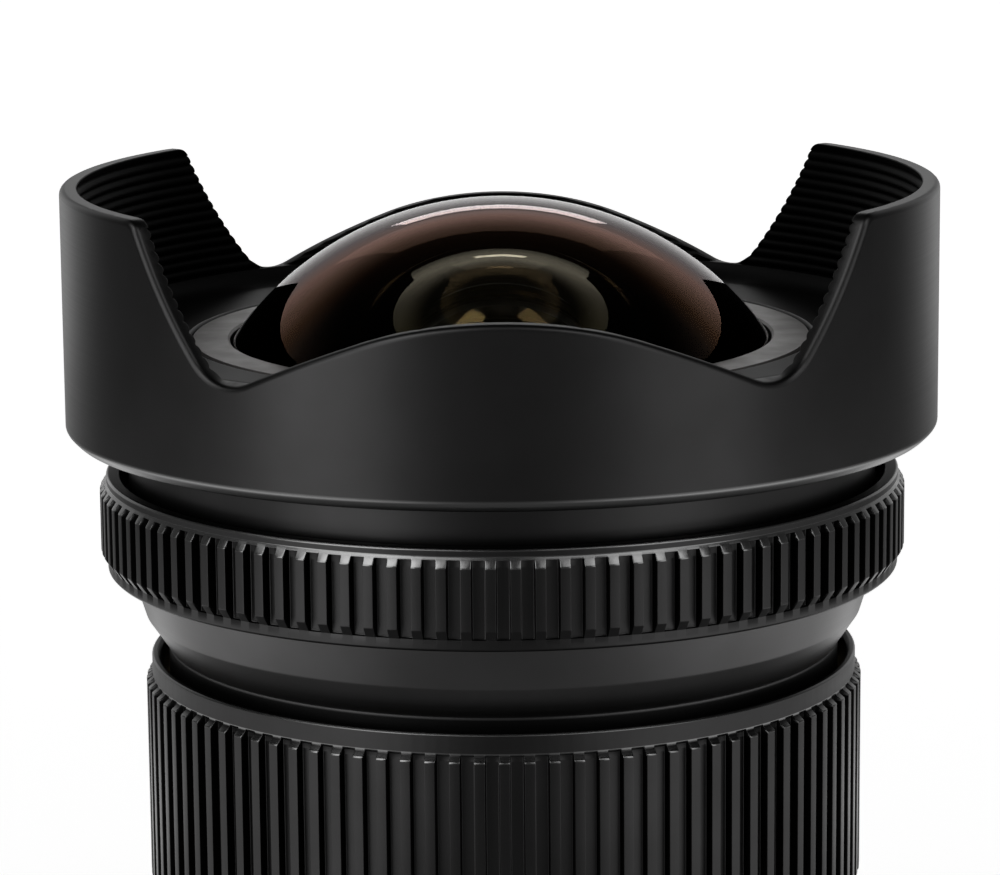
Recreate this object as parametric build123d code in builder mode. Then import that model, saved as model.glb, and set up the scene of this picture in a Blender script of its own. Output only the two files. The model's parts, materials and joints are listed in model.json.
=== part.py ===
from build123d import *

import os
from math import atan2, cos, degrees, hypot, pi, radians, sin, sqrt, tan

# Ultra-wide prime lens, in millimetres. The origin is the centre of the mount's rear face on the
# optical axis, +Z points out of the front glass and +X is the side that stands up on a camera.

# Clearances
seat_gap = 0.03
running_gap = 0.06
side_gap = 0.3
cement_gap = 0.02
screw_gap = 0.05
tip_gap = 0.1
grub_recess = 0.2
overshoot = 1.0

# Lengths along the axis, from the mount's rear face forward
mount_thickness = 1.8
base_length = 11.1
focus_ring_length = 27.3
neck_length = 8.2
aperture_ring_length = 8.96
front_neck_length = 3.78
hood_floor_rise = 8.3
hood_rim_height = 14.27

base_top = mount_thickness + base_length
focus_ring_low = base_top + side_gap
focus_ring_top = focus_ring_low + focus_ring_length
aperture_ring_low = focus_ring_top + neck_length
aperture_ring_top = aperture_ring_low + aperture_ring_length
hood_low = aperture_ring_top + front_neck_length
floor_height = hood_low + hood_floor_rise
hood_top = floor_height + hood_rim_height

# Bayonet mount with three lugs
register_radius = 23.0
register_length = 1.2
mount_radius = register_radius + 7.5
bayonet_wall = 2.0
bayonet_bore = register_radius - 3.3
bayonet_tube_radius = bayonet_bore + bayonet_wall
bayonet_length = 5.2
lug_radius = register_radius - 0.05
lug_thickness = 1.4
lug_drop = 2.6
lug_angle = 56.0
lug_count = 3
lock_slot_radius = register_radius + 4.2
lock_slot_width = 2.4
lock_slot_length = 4.2
mount_screw_count = 4
mount_screw_start = 45.0
mount_screw_circle = (register_radius + mount_radius) / 2
mount_screw_radius = 0.95
mount_screw_head = 1.8
mount_screw_length = 4.6
mount_head_recess = 0.05

# Fixed barrel; its throat is a little wider than the bayonet's bore, so the baffle can be screwed down
base_taper = 3.2
base_floor = 3.6
base_bevel = 0.3
throat_radius = bayonet_bore + 1.5
shoulder_height = 1.0
sleeve_top_gap = 4.45

# Rear baffle plate
baffle_thickness = 0.8
baffle_width = 29.0
baffle_height = 21.0
baffle_corner = 4.0
baffle_screw_count = 3
baffle_screw_start = 30.0
baffle_screw_circle = (bayonet_bore + throat_radius) / 2
baffle_screw_radius = 0.45
baffle_screw_head = 0.7
baffle_screw_length = 1.1
baffle_screw_head_height = 0.4

# Helicoid that turns with the focus ring, inside the fixed barrel's sleeve
helicoid_rise = 4.8
helicoid_bore = throat_radius + helicoid_rise
helicoid_radius = helicoid_bore + 2.38
helicoid_flange = 0.7
thread_relief_radius = helicoid_bore + 1.1
sleeve_bore = helicoid_radius + 0.12
sleeve_radius = sleeve_bore + 1.8
base_wall = 1.9
base_radius = sleeve_radius + base_wall
retainer_bore = sleeve_bore + 0.9
bearing_ring_height = 2.3
bearing_ring_gap = 0.2
stop_screw_radius = 1.0
stop_screw_rise = 3.0
stop_angle = 90.0
focus_travel = 90.0

# Inner barrel, with the outer helicoid thread
inner_barrel_radius = helicoid_bore - running_gap
inner_barrel_bore = inner_barrel_radius - 3.34
inner_barrel_length = 36.5
inner_flange_radius = inner_barrel_radius + 2.26
inner_flange = 1.3
inner_screw_count = 4
inner_screw_start = 45.0
inner_screw_circle = (inner_barrel_radius + inner_flange_radius) / 2
inner_screw_radius = 0.6
inner_screw_head = 0.95
inner_screw_head_height = 0.7

# Guide keys, which run in the inner barrel's wall
guide_key_width = 4.0
guide_key_inner = inner_barrel_bore + 0.6
guide_key_outer = helicoid_bore - 0.4
guide_key_height = 16.0
guide_key_foot = 1.2
guide_key_count = 2
guide_foot_gap = 0.2
guide_screw_radius = 0.5
guide_screw_head = 0.8
guide_screw_length = 1.5
guide_screw_head_height = 0.5

# Front glass and the ring round it
front_radius = 30.25
front_rise = 12.38
front_rim = 26.5
front_back_radius = 17.6
front_back_rim = 17.1
front_edge_thickness = 1.55
name_ring_radius = front_rim + 1.9
name_ring_inner = front_rim - 1.65
name_ring_height = 2.7
name_ring_bevel = 0.2
gasket_thickness = 0.2
gasket_width = 1.9

# Iris diaphragm
blade_count = 7
open_radius = 5.6
blade_inner = 5.7
blade_outer = 10.8
blade_tail = 8.0
blade_tip = 122.0
blade_thickness = 0.12
blade_pitch = 0.2
blade_lift = 0.1
blade_swing = 19.0
pivot_radius = 14.4
pin_radius = 0.6
pivot_depth = 0.7
drive_depth = 0.9
drive_offset = 16.0
tab_radius = 1.3
iris_floor = 1.05
iris_rim_bore = pivot_radius + 3.1
iris_rim_radius = iris_rim_bore + 3.0
cam_thickness = 1.6
cam_bore = pivot_radius - 2.0
washer_thickness = 0.88
washer_width = 2.2
washer_gap = 0.15
iris_screw_count = 3
iris_screw_radius = 0.6
iris_screw_circle = (iris_rim_bore + iris_rim_radius) / 2
iris_screw_head = 0.95
iris_screw_head_height = 0.6
iris_head_recess = 0.05
rear_screw_reach = 1.6
screw_stagger = 60.0

# Front cell, which holds the front glasses and hangs the iris
cell_radius = name_ring_radius + 2.7
cell_flange = 1.9
cell_flange_gap = 0.1
cell_cone_start = 7.3
cell_cone_end = 11.8
cell_foot_height = 2.0

# Moving front barrel
barrel_bore = cell_radius + 0.1
aperture_seat_radius = barrel_bore + 2.4
neck_radius = aperture_seat_radius + 0.8
lower_tube_bore = inner_flange_radius + 0.1
lower_tube_radius = lower_tube_bore + 1.9
floor_bore = iris_rim_radius + 0.7
barrel_floor = 1.4
aperture_shoulder = 2.7
front_foot_drop = 0.14
front_tube_reach = 3.6

# Scale sleeve under the aperture ring
scale_top_radius = aperture_seat_radius + 0.7
scale_crease_radius = scale_top_radius - 1.2
scale_foot_radius = lower_tube_radius + seat_gap + 0.82
scale_band = 4.0
scale_cone = 3.0
scale_foot_drop = 3.3
sleeve_screw_count = 3
sleeve_screw_radius = 0.7
sleeve_screw_rise = 1.6
sleeve_screw_start = 90.0

# Share of each grip pitch that is rib, and how deep a rib's root sinks into its ring
rib_share = 0.43
rib_root = 0.35

# Focus ring
focus_bore = sleeve_radius + running_gap
focus_throat = scale_foot_radius + 0.75
focus_rim_radius = focus_throat + 0.85
focus_rib_radius = focus_rim_radius + 0.55
focus_floor_radius = focus_rim_radius - 0.3
focus_rib_count = 96
focus_rib_slope = 0.42
focus_edge = 0.12
focus_bevel = 0.35
focus_top_rim = 2.0
focus_low_rim = 6.0
focus_screw_count = 4
focus_screw_circle = (focus_bore + focus_throat) / 2
focus_screw_radius = 0.35
focus_screw_head = 0.6
focus_screw_length = 1.9
focus_screw_start = 22.5

# Aperture ring
aperture_bore = aperture_seat_radius + running_gap
aperture_throat = neck_radius + 0.8
aperture_rim_radius = aperture_throat + 1.26
aperture_rib_radius = aperture_rim_radius + 0.6
aperture_floor_radius = aperture_rim_radius - 0.36
aperture_rib_count = 110
aperture_rib_slope = 0.85
aperture_edge = 0.2
aperture_top_rim = 0.72
aperture_low_rim = 1.05
groove_end = 0.25
aperture_travel = 40.0

# Link from the aperture ring to the iris
link_radius = 0.6
link_inner = pivot_radius + 0.2
link_outer = aperture_throat
link_screw_radius = 0.85
link_screw_length = 0.75

# Petal hood
hood_radius = neck_radius + 5.6
hood_wall = 1.6
hood_floor = 0.93
hood_floor_radius = hood_radius - 4.4
hood_bottom_bevel = 0.7
hood_skirt_wall = 1.7
hood_hub_wall = 1.8
hood_pocket_depth = 4.2
hood_bore_bevel = 0.3
name_ring_gap = 0.12
hood_edge_round = 0.35
petal_edge_round = 0.2
petal_corner_radius = 1.2
same_place = 0.01
crown_drop = 6.68
crown_radius = 42.0
crown_slope = 17.2
flank_slope = 33.4
flank_angle = 52.1
valley_radius = 10.7
notch_near = 0.5
notch_far = 1.03
notch_over = 3.0
ridge_count = 13
ridge_pitch = 0.93
ridge_depth = 0.33
ridge_start = 0.75

# Second and third glass
second_space = 0.12
second_radius = 20.0
second_rim = 17.5
second_back_radius = 10.5
second_back_rim = 10.1
second_edge = 1.5
third_ledge = 0.8
third_land = 0.6
third_radius = 30.0
third_rim = 11.0
third_back_radius = 16.0
third_back_rim = 8.6
third_edge = 1.6

# Fourth glass, the cemented pair and the rear glass
fourth_depth = 0.6
fourth_radius = 14.0
fourth_back_radius = 30.0
fourth_rim = 9.5
fourth_edge = 2.0
doublet_space = 1.1
doublet_front_radius = 25.0
doublet_joint_radius = 12.0
doublet_back_radius = 22.0
doublet_rim = 11.0
doublet_centre = 1.4
doublet_rear_edge = 1.4
rear_depth = 1.8
rear_front_radius = 40.0
rear_back_radius = 28.0
rear_rim = 13.0
rear_edge = 2.5

# Retaining rings and the spacer
retainer_height = 1.9
retainer_lip = 0.8
second_retainer_radius = second_rim + 1.95
third_retainer_radius = third_rim + 1.6
fourth_retainer_radius = fourth_rim + 0.85
rear_retainer_radius = rear_rim + 0.95
spacer_flange = 3.4

# Rear cell
rear_cell_flange = 1.35
rear_cell_neck = doublet_rim + 2.2
rear_cell_radius = rear_retainer_radius + 2.25
rear_cell_length = 36.0
rear_cell_skirt = 14.0
rear_cell_taper = 2.5
rear_screw_count = 3


def save(piece, name):
    """Label a finished piece and write its file."""
    piece.part.label = name
    export_step(piece.part, f"parts/{name}.step")


def turned(*corners, mode=Mode.ADD):
    """Revolve a half section, given as (radius, height) corners, about the optical axis."""
    with BuildSketch(Plane.XZ) as section:
        with BuildLine():
            Polyline(*corners, close=True)
        make_face()
    revolve(section.sketch, axis=Axis.Z, mode=mode)


def ring(outer, inner, low, high, mode=Mode.ADD):
    """Turn a plain ring between two heights."""
    turned((inner, low), (outer, low), (outer, high), (inner, high), mode=mode)


def pins(radius, low, high, circle, count, start=0.0, mode=Mode.ADD):
    """Stand round pins on a circle, parallel to the axis."""
    with BuildSketch(Plane.XY.offset(low)) as foot:
        with PolarLocations(circle, count, start_angle=start):
            Circle(radius)
    extrude(foot.sketch, amount=high - low, mode=mode)


def cap_screws(shank, head, low, seat, high, circle, count, start=0.0, gap=0.0, mode=Mode.ADD):
    """Screws with flat heads: the shank runs between two heights and the head lies beyond seat."""
    pins(shank + gap, min(low, seat), max(low, seat), circle, count, start, mode)
    pins(head + gap, min(seat, high), max(seat, high), circle, count, start, mode)


def radial_pins(radius, inner, outer, height, angles, mode=Mode.ADD):
    """Lay round pins along radii at one height."""
    for angle in angles:
        x_dir = (-sin(radians(angle)), cos(radians(angle)), 0)
        out = (cos(radians(angle)), sin(radians(angle)), 0)
        with BuildSketch(Plane((0, 0, height), x_dir=x_dir, z_dir=out).offset(inner)) as foot:
            Circle(radius)
        extrude(foot.sketch, amount=outer - inner, mode=mode)


def arc_window(inner, outer, low, high, start, end, mode=Mode.SUBTRACT):
    """A window through a wall, between two heights and two angles."""
    reach = outer / cos(radians((end - start) / 4)) + 1
    middle = (start + end) / 2
    rim = [(reach * cos(radians(a)), reach * sin(radians(a))) for a in (start, middle, end)]
    with BuildSketch(Plane.XY.offset(low)) as window:
        with BuildLine():
            Polyline((0, 0), *rim, close=True)
        make_face()
        Circle(outer, mode=Mode.INTERSECT)
        Circle(inner, mode=Mode.SUBTRACT)
    extrude(window.sketch, amount=high - low, mode=mode)


def rise(radius, reach):
    """Height of a spherical surface's apex over its rim."""
    return radius - sqrt(radius**2 - reach**2)


def rim_slope(radius, reach):
    """Slope of a spherical surface at its rim."""
    return reach / sqrt(radius**2 - reach**2)


def glass(front_apex, front, rim, edge_low, back_apex, back, back_rim):
    """Turn a lens element; a negative surface radius curves towards the rear."""
    def surface(apex, radius, reach):
        sign = 1 if radius > 0 else -1
        return apex - sign * rise(abs(radius), reach)

    front_edge = surface(front_apex, front, rim)
    with BuildSketch(Plane.XZ) as section:
        with BuildLine():
            ThreePointArc(
                (0, front_apex), (rim / 2, surface(front_apex, front, rim / 2)), (rim, front_edge)
            )
            Line((rim, front_edge), (rim, edge_low))
            if back_rim < rim:
                Line((rim, edge_low), (back_rim, edge_low))
            ThreePointArc(
                (back_rim, edge_low),
                (back_rim / 2, surface(back_apex, back, back_rim / 2)),
                (0, back_apex),
            )
            Line((0, back_apex), (0, front_apex))
        make_face()
    revolve(section.sketch, axis=Axis.Z)


def retainer(outer, rim, surface_radius, rim_height, sign=1):
    """A threaded ring whose bevel bears on the rim of a glass; sign -1 holds it from the rear."""
    lift = retainer_lip * rim_slope(surface_radius, rim)
    turned(
        (rim - retainer_lip, rim_height + sign * lift),
        (rim, rim_height),
        (outer, rim_height),
        (outer, rim_height + sign * retainer_height),
        (rim - retainer_lip, rim_height + sign * retainer_height),
    )


def grip(count, floor, rib_radius, low, high, rim_radius, slope):
    """Straight grip ribs round a ring, bevelled at both ends down to the rims."""
    root = floor - rib_root
    with BuildSketch(Plane.XY.offset(low)) as ribs:
        with PolarLocations(rib_radius, count):
            Rectangle(2 * (rib_radius - root), rib_share * 2 * pi * rib_radius / count)
    extrude(ribs.sketch, amount=high - low)
    turned(
        (root, low),
        (rim_radius, low),
        (rib_radius, low + slope),
        (rib_radius, high - slope),
        (rim_radius, high),
        (root, high),
        mode=Mode.INTERSECT,
    )


def drive_pin_at(swing):
    """Where a blade's drive pin stands once the blade has swung about its pivot by an angle."""
    start_x = pivot_radius * cos(radians(drive_offset)) - pivot_radius
    start_y = -pivot_radius * sin(radians(drive_offset))
    turn = radians(swing)
    return (
        pivot_radius + start_x * cos(turn) - start_y * sin(turn),
        start_x * sin(turn) + start_y * cos(turn),
    )


def slot_point(share):
    """The drive pin's place in the cam ring's own frame, at a share of the ring's travel."""
    x, y = drive_pin_at(share * blade_swing)
    angle = atan2(y, x) - radians(share * aperture_travel)
    return hypot(x, y) * cos(angle), hypot(x, y) * sin(angle)


# Heights and angles that several pieces share
cell_top = floor_height - hood_floor
cell_flange_low = cell_top - cell_flange
cell_foot = cell_top - cell_flange - cell_cone_end
iris_height = iris_floor + blade_count * blade_pitch + blade_thickness + cam_thickness
iris_floor_low = cell_foot - washer_thickness - running_gap - iris_height
iris_floor_top = iris_floor_low + iris_floor
cam_low = iris_floor_top + blade_count * blade_pitch + blade_thickness
link_height = cam_low + cam_thickness / 2
blade_step = 360 / blade_count
slot_end = slot_point(1)
link_angle = (5 * blade_step - drive_offset + degrees(atan2(slot_end[1], slot_end[0]))) / 2

os.makedirs("parts", exist_ok=True)

# Mount plate: flange, locating register, tube and three lugs
with BuildPart() as mount_plate:
    turned(
        (bayonet_bore, -bayonet_length),
        (bayonet_tube_radius, -bayonet_length),
        (bayonet_tube_radius, -register_length),
        (register_radius, -register_length),
        (register_radius, 0),
        (mount_radius, 0),
        (mount_radius, mount_thickness),
        (bayonet_bore, mount_thickness),
    )
    lug_low = -register_length - lug_drop
    for lug in range(lug_count):
        lug_start = lug * 360 / lug_count - lug_angle / 2
        arc_window(
            bayonet_bore,
            lug_radius,
            lug_low,
            lug_low + lug_thickness,
            lug_start,
            lug_start + lug_angle,
            mode=Mode.ADD,
        )
    with BuildSketch(Plane.XY):
        with Locations((0, -lock_slot_radius)):
            SlotOverall(lock_slot_length, lock_slot_width)
    extrude(amount=mount_thickness, mode=Mode.SUBTRACT)
    cap_screws(
        mount_screw_radius,
        mount_screw_head,
        mount_thickness,
        mount_thickness / 2,
        0,
        mount_screw_circle,
        mount_screw_count,
        mount_screw_start,
        screw_gap,
        Mode.SUBTRACT,
    )
    pins(
        baffle_screw_radius + screw_gap,
        mount_thickness - baffle_screw_length - tip_gap,
        mount_thickness,
        baffle_screw_circle,
        baffle_screw_count,
        baffle_screw_start,
        Mode.SUBTRACT,
    )
save(mount_plate, "mount_plate")

with BuildPart() as mount_screws:
    cap_screws(
        mount_screw_radius,
        mount_screw_head,
        mount_screw_length,
        mount_thickness / 2,
        mount_head_recess,
        mount_screw_circle,
        mount_screw_count,
        mount_screw_start,
    )
save(mount_screws, "mount_screws")

# Rear baffle: a plate with a rounded frame-shaped window
baffle_low = mount_thickness
baffle_top = baffle_low + baffle_thickness
with BuildPart() as rear_baffle:
    ring(throat_radius - seat_gap, baffle_corner, baffle_low, baffle_top)
    with BuildSketch(Plane.XY.offset(baffle_low)):
        RectangleRounded(baffle_width, baffle_height, baffle_corner)
    extrude(amount=baffle_thickness, mode=Mode.SUBTRACT)
    pins(
        baffle_screw_radius + screw_gap,
        baffle_low,
        baffle_top,
        baffle_screw_circle,
        baffle_screw_count,
        baffle_screw_start,
        Mode.SUBTRACT,
    )
save(rear_baffle, "rear_baffle")

with BuildPart() as baffle_screws:
    cap_screws(
        baffle_screw_radius,
        baffle_screw_head,
        mount_thickness - baffle_screw_length,
        baffle_top,
        baffle_top + baffle_screw_head_height,
        baffle_screw_circle,
        baffle_screw_count,
        baffle_screw_start,
    )
save(baffle_screws, "baffle_screws")

# Fixed barrel: tapered base, inner floor and the long sleeve under the focus ring
barrel_low = mount_thickness
floor_top = barrel_low + base_floor
sleeve_top = focus_ring_top - sleeve_top_gap
bearing_shoulder = base_top - shoulder_height
stop_height = focus_ring_low + stop_screw_rise
stop_reach = degrees((stop_screw_radius + side_gap) / sleeve_bore)
key_top = floor_top + guide_key_height
foot_top = floor_top + guide_key_foot
key_foot_inner = throat_radius + guide_foot_gap
key_screw_circle = (key_foot_inner + guide_key_inner) / 2
with BuildPart() as rear_barrel:
    turned(
        (throat_radius, barrel_low),
        (mount_radius, barrel_low),
        (base_radius, barrel_low + base_taper),
        (base_radius, base_top - base_bevel),
        (base_radius - base_bevel, base_top),
        (sleeve_radius, base_top),
        (sleeve_radius, sleeve_top),
        (sleeve_bore, sleeve_top),
        (sleeve_bore, bearing_shoulder),
        (retainer_bore, bearing_shoulder),
        (retainer_bore, floor_top),
        (throat_radius, floor_top),
    )
    pins(
        mount_screw_radius + screw_gap,
        barrel_low,
        mount_screw_length + seat_gap,
        mount_screw_circle,
        mount_screw_count,
        mount_screw_start,
        Mode.SUBTRACT,
    )
    pins(
        guide_screw_radius + screw_gap,
        floor_top - guide_screw_length - tip_gap,
        floor_top,
        key_screw_circle,
        guide_key_count,
        0,
        Mode.SUBTRACT,
    )
    arc_window(
        sleeve_bore - overshoot,
        sleeve_radius + overshoot,
        stop_height - stop_screw_radius - running_gap,
        stop_height + stop_screw_radius + running_gap,
        stop_angle - stop_reach,
        stop_angle + focus_travel + stop_reach,
    )
save(rear_barrel, "rear_barrel")

# Guide keys stop the inner barrel from turning, so it slides as the helicoid turns
with BuildPart() as guide_keys:
    with BuildSketch(Plane.XY.offset(floor_top)):
        with PolarLocations((key_foot_inner + guide_key_outer) / 2, guide_key_count):
            Rectangle(guide_key_outer - key_foot_inner, guide_key_width)
    extrude(amount=guide_key_foot)
    with BuildSketch(Plane.XY.offset(floor_top)):
        with PolarLocations((guide_key_inner + guide_key_outer) / 2, guide_key_count):
            Rectangle(guide_key_outer - guide_key_inner, guide_key_width)
    extrude(amount=guide_key_height)
    pins(
        guide_screw_radius + screw_gap,
        floor_top,
        foot_top,
        key_screw_circle,
        guide_key_count,
        0,
        Mode.SUBTRACT,
    )
save(guide_keys, "guide_keys")

with BuildPart() as guide_key_screws:
    cap_screws(
        guide_screw_radius,
        guide_screw_head,
        floor_top - guide_screw_length,
        foot_top,
        foot_top + guide_screw_head_height,
        key_screw_circle,
        guide_key_count,
    )
save(guide_key_screws, "guide_key_screws")

# Focus ring: thin rim at the top, straight ribs, and a smooth band for the distance marks
flange_low = sleeve_top + running_gap
flange_top = flange_low + helicoid_flange
with BuildPart() as focus_ring:
    grip(
        focus_rib_count,
        focus_floor_radius,
        focus_rib_radius,
        focus_ring_low + focus_low_rim,
        focus_ring_top - focus_top_rim,
        focus_rim_radius,
        focus_rib_slope,
    )
    turned(
        (focus_bore, focus_ring_low),
        (focus_rim_radius - focus_bevel, focus_ring_low),
        (focus_rim_radius, focus_ring_low + focus_bevel),
        (focus_rim_radius, focus_ring_low + focus_low_rim),
        (focus_floor_radius, focus_ring_low + focus_low_rim),
        (focus_floor_radius, focus_ring_top - focus_top_rim),
        (focus_rim_radius - focus_edge, focus_ring_top - focus_top_rim),
        (focus_rim_radius, focus_ring_top - focus_top_rim + focus_edge),
        (focus_rim_radius, focus_ring_top - focus_edge),
        (focus_rim_radius - focus_edge, focus_ring_top),
        (focus_throat + focus_bevel, focus_ring_top),
        (focus_throat, focus_ring_top - focus_bevel),
        (focus_throat, flange_low),
        (focus_bore, flange_low),
    )
    pins(
        focus_screw_radius + screw_gap,
        flange_low - focus_screw_length - tip_gap,
        flange_low,
        focus_screw_circle,
        focus_screw_count,
        focus_screw_start,
        Mode.SUBTRACT,
    )
    radial_pins(
        stop_screw_radius + screw_gap,
        focus_bore - overshoot,
        focus_rib_radius + overshoot,
        stop_height,
        (stop_angle,),
        Mode.SUBTRACT,
    )
save(focus_ring, "focus_ring")

with BuildPart() as focus_stop_screw:
    radial_pins(
        stop_screw_radius,
        sleeve_bore + side_gap,
        focus_rim_radius - grub_recess,
        stop_height,
        (stop_angle,),
    )
save(focus_stop_screw, "focus_stop_screw")

bearing_low = bearing_shoulder - running_gap - bearing_ring_height
with BuildPart() as helicoid_ring:
    turned(
        (helicoid_bore, bearing_low),
        (thread_relief_radius, bearing_low),
        (thread_relief_radius, bearing_shoulder),
        (helicoid_radius, bearing_shoulder),
        (helicoid_radius, flange_low),
        (focus_throat - running_gap, flange_low),
        (focus_throat - running_gap, flange_top),
        (helicoid_bore, flange_top),
    )
    cap_screws(
        focus_screw_radius,
        focus_screw_head,
        flange_low,
        flange_low + helicoid_flange / 2,
        flange_top,
        focus_screw_circle,
        focus_screw_count,
        focus_screw_start,
        screw_gap,
        Mode.SUBTRACT,
    )
save(helicoid_ring, "helicoid_ring")

with BuildPart() as focus_ring_screws:
    cap_screws(
        focus_screw_radius,
        focus_screw_head,
        flange_low - focus_screw_length,
        flange_low + helicoid_flange / 2,
        flange_top,
        focus_screw_circle,
        focus_screw_count,
        focus_screw_start,
    )
save(focus_ring_screws, "focus_ring_screws")

with BuildPart() as bearing_retainer:
    ring(
        retainer_bore - bearing_ring_gap,
        thread_relief_radius + seat_gap,
        bearing_low,
        bearing_low + bearing_ring_height,
    )
save(bearing_retainer, "bearing_retainer")

# Front barrel: the outer tube that carries the hood, the front cell and the aperture ring
barrel_foot = aperture_ring_low - front_foot_drop
barrel_floor_top = barrel_foot + barrel_floor
barrel_top = cell_flange_low
ring_shoulder = aperture_ring_top - aperture_shoulder
neck_foot = focus_ring_top - front_tube_reach
sleeve_screw_height = neck_foot + sleeve_screw_rise
sleeve_screw_angles = [sleeve_screw_start + n * 360 / sleeve_screw_count for n in range(sleeve_screw_count)]
link_reach = degrees((link_radius + side_gap) / aperture_seat_radius)
with BuildPart() as front_barrel:
    turned(
        (lower_tube_bore, neck_foot),
        (lower_tube_radius, neck_foot),
        (lower_tube_radius, barrel_foot),
        (aperture_seat_radius, barrel_foot),
        (aperture_seat_radius, ring_shoulder),
        (neck_radius, ring_shoulder),
        (neck_radius, barrel_top),
        (barrel_bore, barrel_top),
        (barrel_bore, barrel_floor_top),
        (floor_bore, barrel_floor_top),
        (floor_bore, barrel_foot),
        (lower_tube_bore, barrel_foot),
    )
    arc_window(
        barrel_bore - overshoot,
        aperture_seat_radius + overshoot,
        link_height - link_radius - side_gap,
        link_height + link_radius + side_gap,
        link_angle - link_reach,
        link_angle + aperture_travel + link_reach,
    )
    pins(
        inner_screw_radius + screw_gap,
        barrel_foot,
        barrel_floor_top,
        inner_screw_circle,
        inner_screw_count,
        inner_screw_start,
        Mode.SUBTRACT,
    )
    radial_pins(
        sleeve_screw_radius + screw_gap,
        lower_tube_bore - overshoot,
        lower_tube_radius + overshoot,
        sleeve_screw_height,
        sleeve_screw_angles,
        Mode.SUBTRACT,
    )
save(front_barrel, "front_barrel")

# Scale sleeve: the two-slope cone under the aperture ring, and the neck inside the focus ring
sleeve_top_height = barrel_foot
crease_height = sleeve_top_height - scale_band
scale_neck_height = crease_height - scale_cone
scale_low = focus_ring_top - scale_foot_drop
with BuildPart() as scale_sleeve:
    turned(
        (lower_tube_radius + seat_gap, sleeve_top_height),
        (scale_top_radius, sleeve_top_height),
        (scale_crease_radius, crease_height),
        (scale_foot_radius, scale_neck_height),
        (scale_foot_radius, scale_low),
        (lower_tube_radius + seat_gap, scale_low),
    )
    radial_pins(
        sleeve_screw_radius + screw_gap,
        lower_tube_radius - overshoot,
        scale_foot_radius + overshoot,
        sleeve_screw_height,
        sleeve_screw_angles,
        Mode.SUBTRACT,
    )
save(scale_sleeve, "scale_sleeve")

with BuildPart() as scale_sleeve_screws:
    radial_pins(
        sleeve_screw_radius,
        lower_tube_bore + grub_recess,
        scale_foot_radius - grub_recess,
        sleeve_screw_height,
        sleeve_screw_angles,
    )
save(scale_sleeve_screws, "scale_sleeve_screws")

# Inner barrel: slides inside the helicoid ring, held from turning by two long keyways
inner_flange_top = barrel_foot
inner_flange_low = inner_flange_top - inner_flange
inner_barrel_low = inner_flange_top - inner_barrel_length
with BuildPart() as inner_barrel:
    turned(
        (inner_barrel_bore, inner_barrel_low),
        (inner_barrel_radius, inner_barrel_low),
        (inner_barrel_radius, inner_flange_low),
        (inner_flange_radius, inner_flange_low),
        (inner_flange_radius, inner_flange_top),
        (inner_barrel_bore, inner_flange_top),
    )
    with BuildSketch(Plane.XY.offset(inner_barrel_low)):
        with PolarLocations((inner_barrel_bore + helicoid_bore) / 2, guide_key_count):
            Rectangle(helicoid_bore - inner_barrel_bore + overshoot, guide_key_width + 2 * running_gap)
    extrude(amount=key_top - inner_barrel_low + side_gap, mode=Mode.SUBTRACT)
    pins(
        inner_screw_radius + screw_gap,
        inner_flange_low,
        inner_flange_top,
        inner_screw_circle,
        inner_screw_count,
        inner_screw_start,
        Mode.SUBTRACT,
    )
save(inner_barrel, "inner_barrel")

with BuildPart() as inner_barrel_screws:
    cap_screws(
        inner_screw_radius,
        inner_screw_head,
        barrel_floor_top - tip_gap,
        inner_flange_low,
        inner_flange_low - inner_screw_head_height,
        inner_screw_circle,
        inner_screw_count,
        inner_screw_start,
    )
save(inner_barrel_screws, "inner_barrel_screws")

# Aperture ring: ribs with broad bevels between two plain rims
grip_low = aperture_ring_low + aperture_low_rim
grip_high = aperture_ring_top - aperture_top_rim
with BuildPart() as aperture_ring:
    grip(
        aperture_rib_count,
        aperture_floor_radius,
        aperture_rib_radius,
        grip_low,
        grip_high,
        aperture_rim_radius,
        aperture_rib_slope,
    )
    turned(
        (aperture_bore, aperture_ring_low),
        (aperture_rim_radius - aperture_edge, aperture_ring_low),
        (aperture_rim_radius, aperture_ring_low + aperture_edge),
        (aperture_rim_radius, grip_low),
        (aperture_floor_radius, grip_low),
        (aperture_floor_radius, grip_high - groove_end),
        (aperture_rim_radius, grip_high - groove_end),
        (aperture_rim_radius, aperture_ring_top - aperture_edge),
        (aperture_rim_radius - aperture_edge, aperture_ring_top),
        (aperture_throat + aperture_edge, aperture_ring_top),
        (aperture_throat, aperture_ring_top - aperture_edge),
        (aperture_throat, ring_shoulder - running_gap),
        (aperture_bore, ring_shoulder - running_gap),
    )
    radial_pins(
        link_radius + screw_gap,
        aperture_bore - overshoot,
        link_outer + seat_gap,
        link_height,
        (link_angle,),
        Mode.SUBTRACT,
    )
    radial_pins(
        link_screw_radius + screw_gap,
        link_outer + seat_gap,
        aperture_rib_radius + overshoot,
        link_height,
        (link_angle,),
        Mode.SUBTRACT,
    )
save(aperture_ring, "aperture_ring")

with BuildPart() as aperture_link:
    radial_pins(link_radius, link_inner, link_outer, link_height, (link_angle,))
save(aperture_link, "aperture_link")

with BuildPart() as link_screw:
    radial_pins(
        link_screw_radius,
        link_outer + 2 * seat_gap,
        link_outer + 2 * seat_gap + link_screw_length,
        link_height,
        (link_angle,),
    )
save(link_screw, "link_screw")

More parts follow.
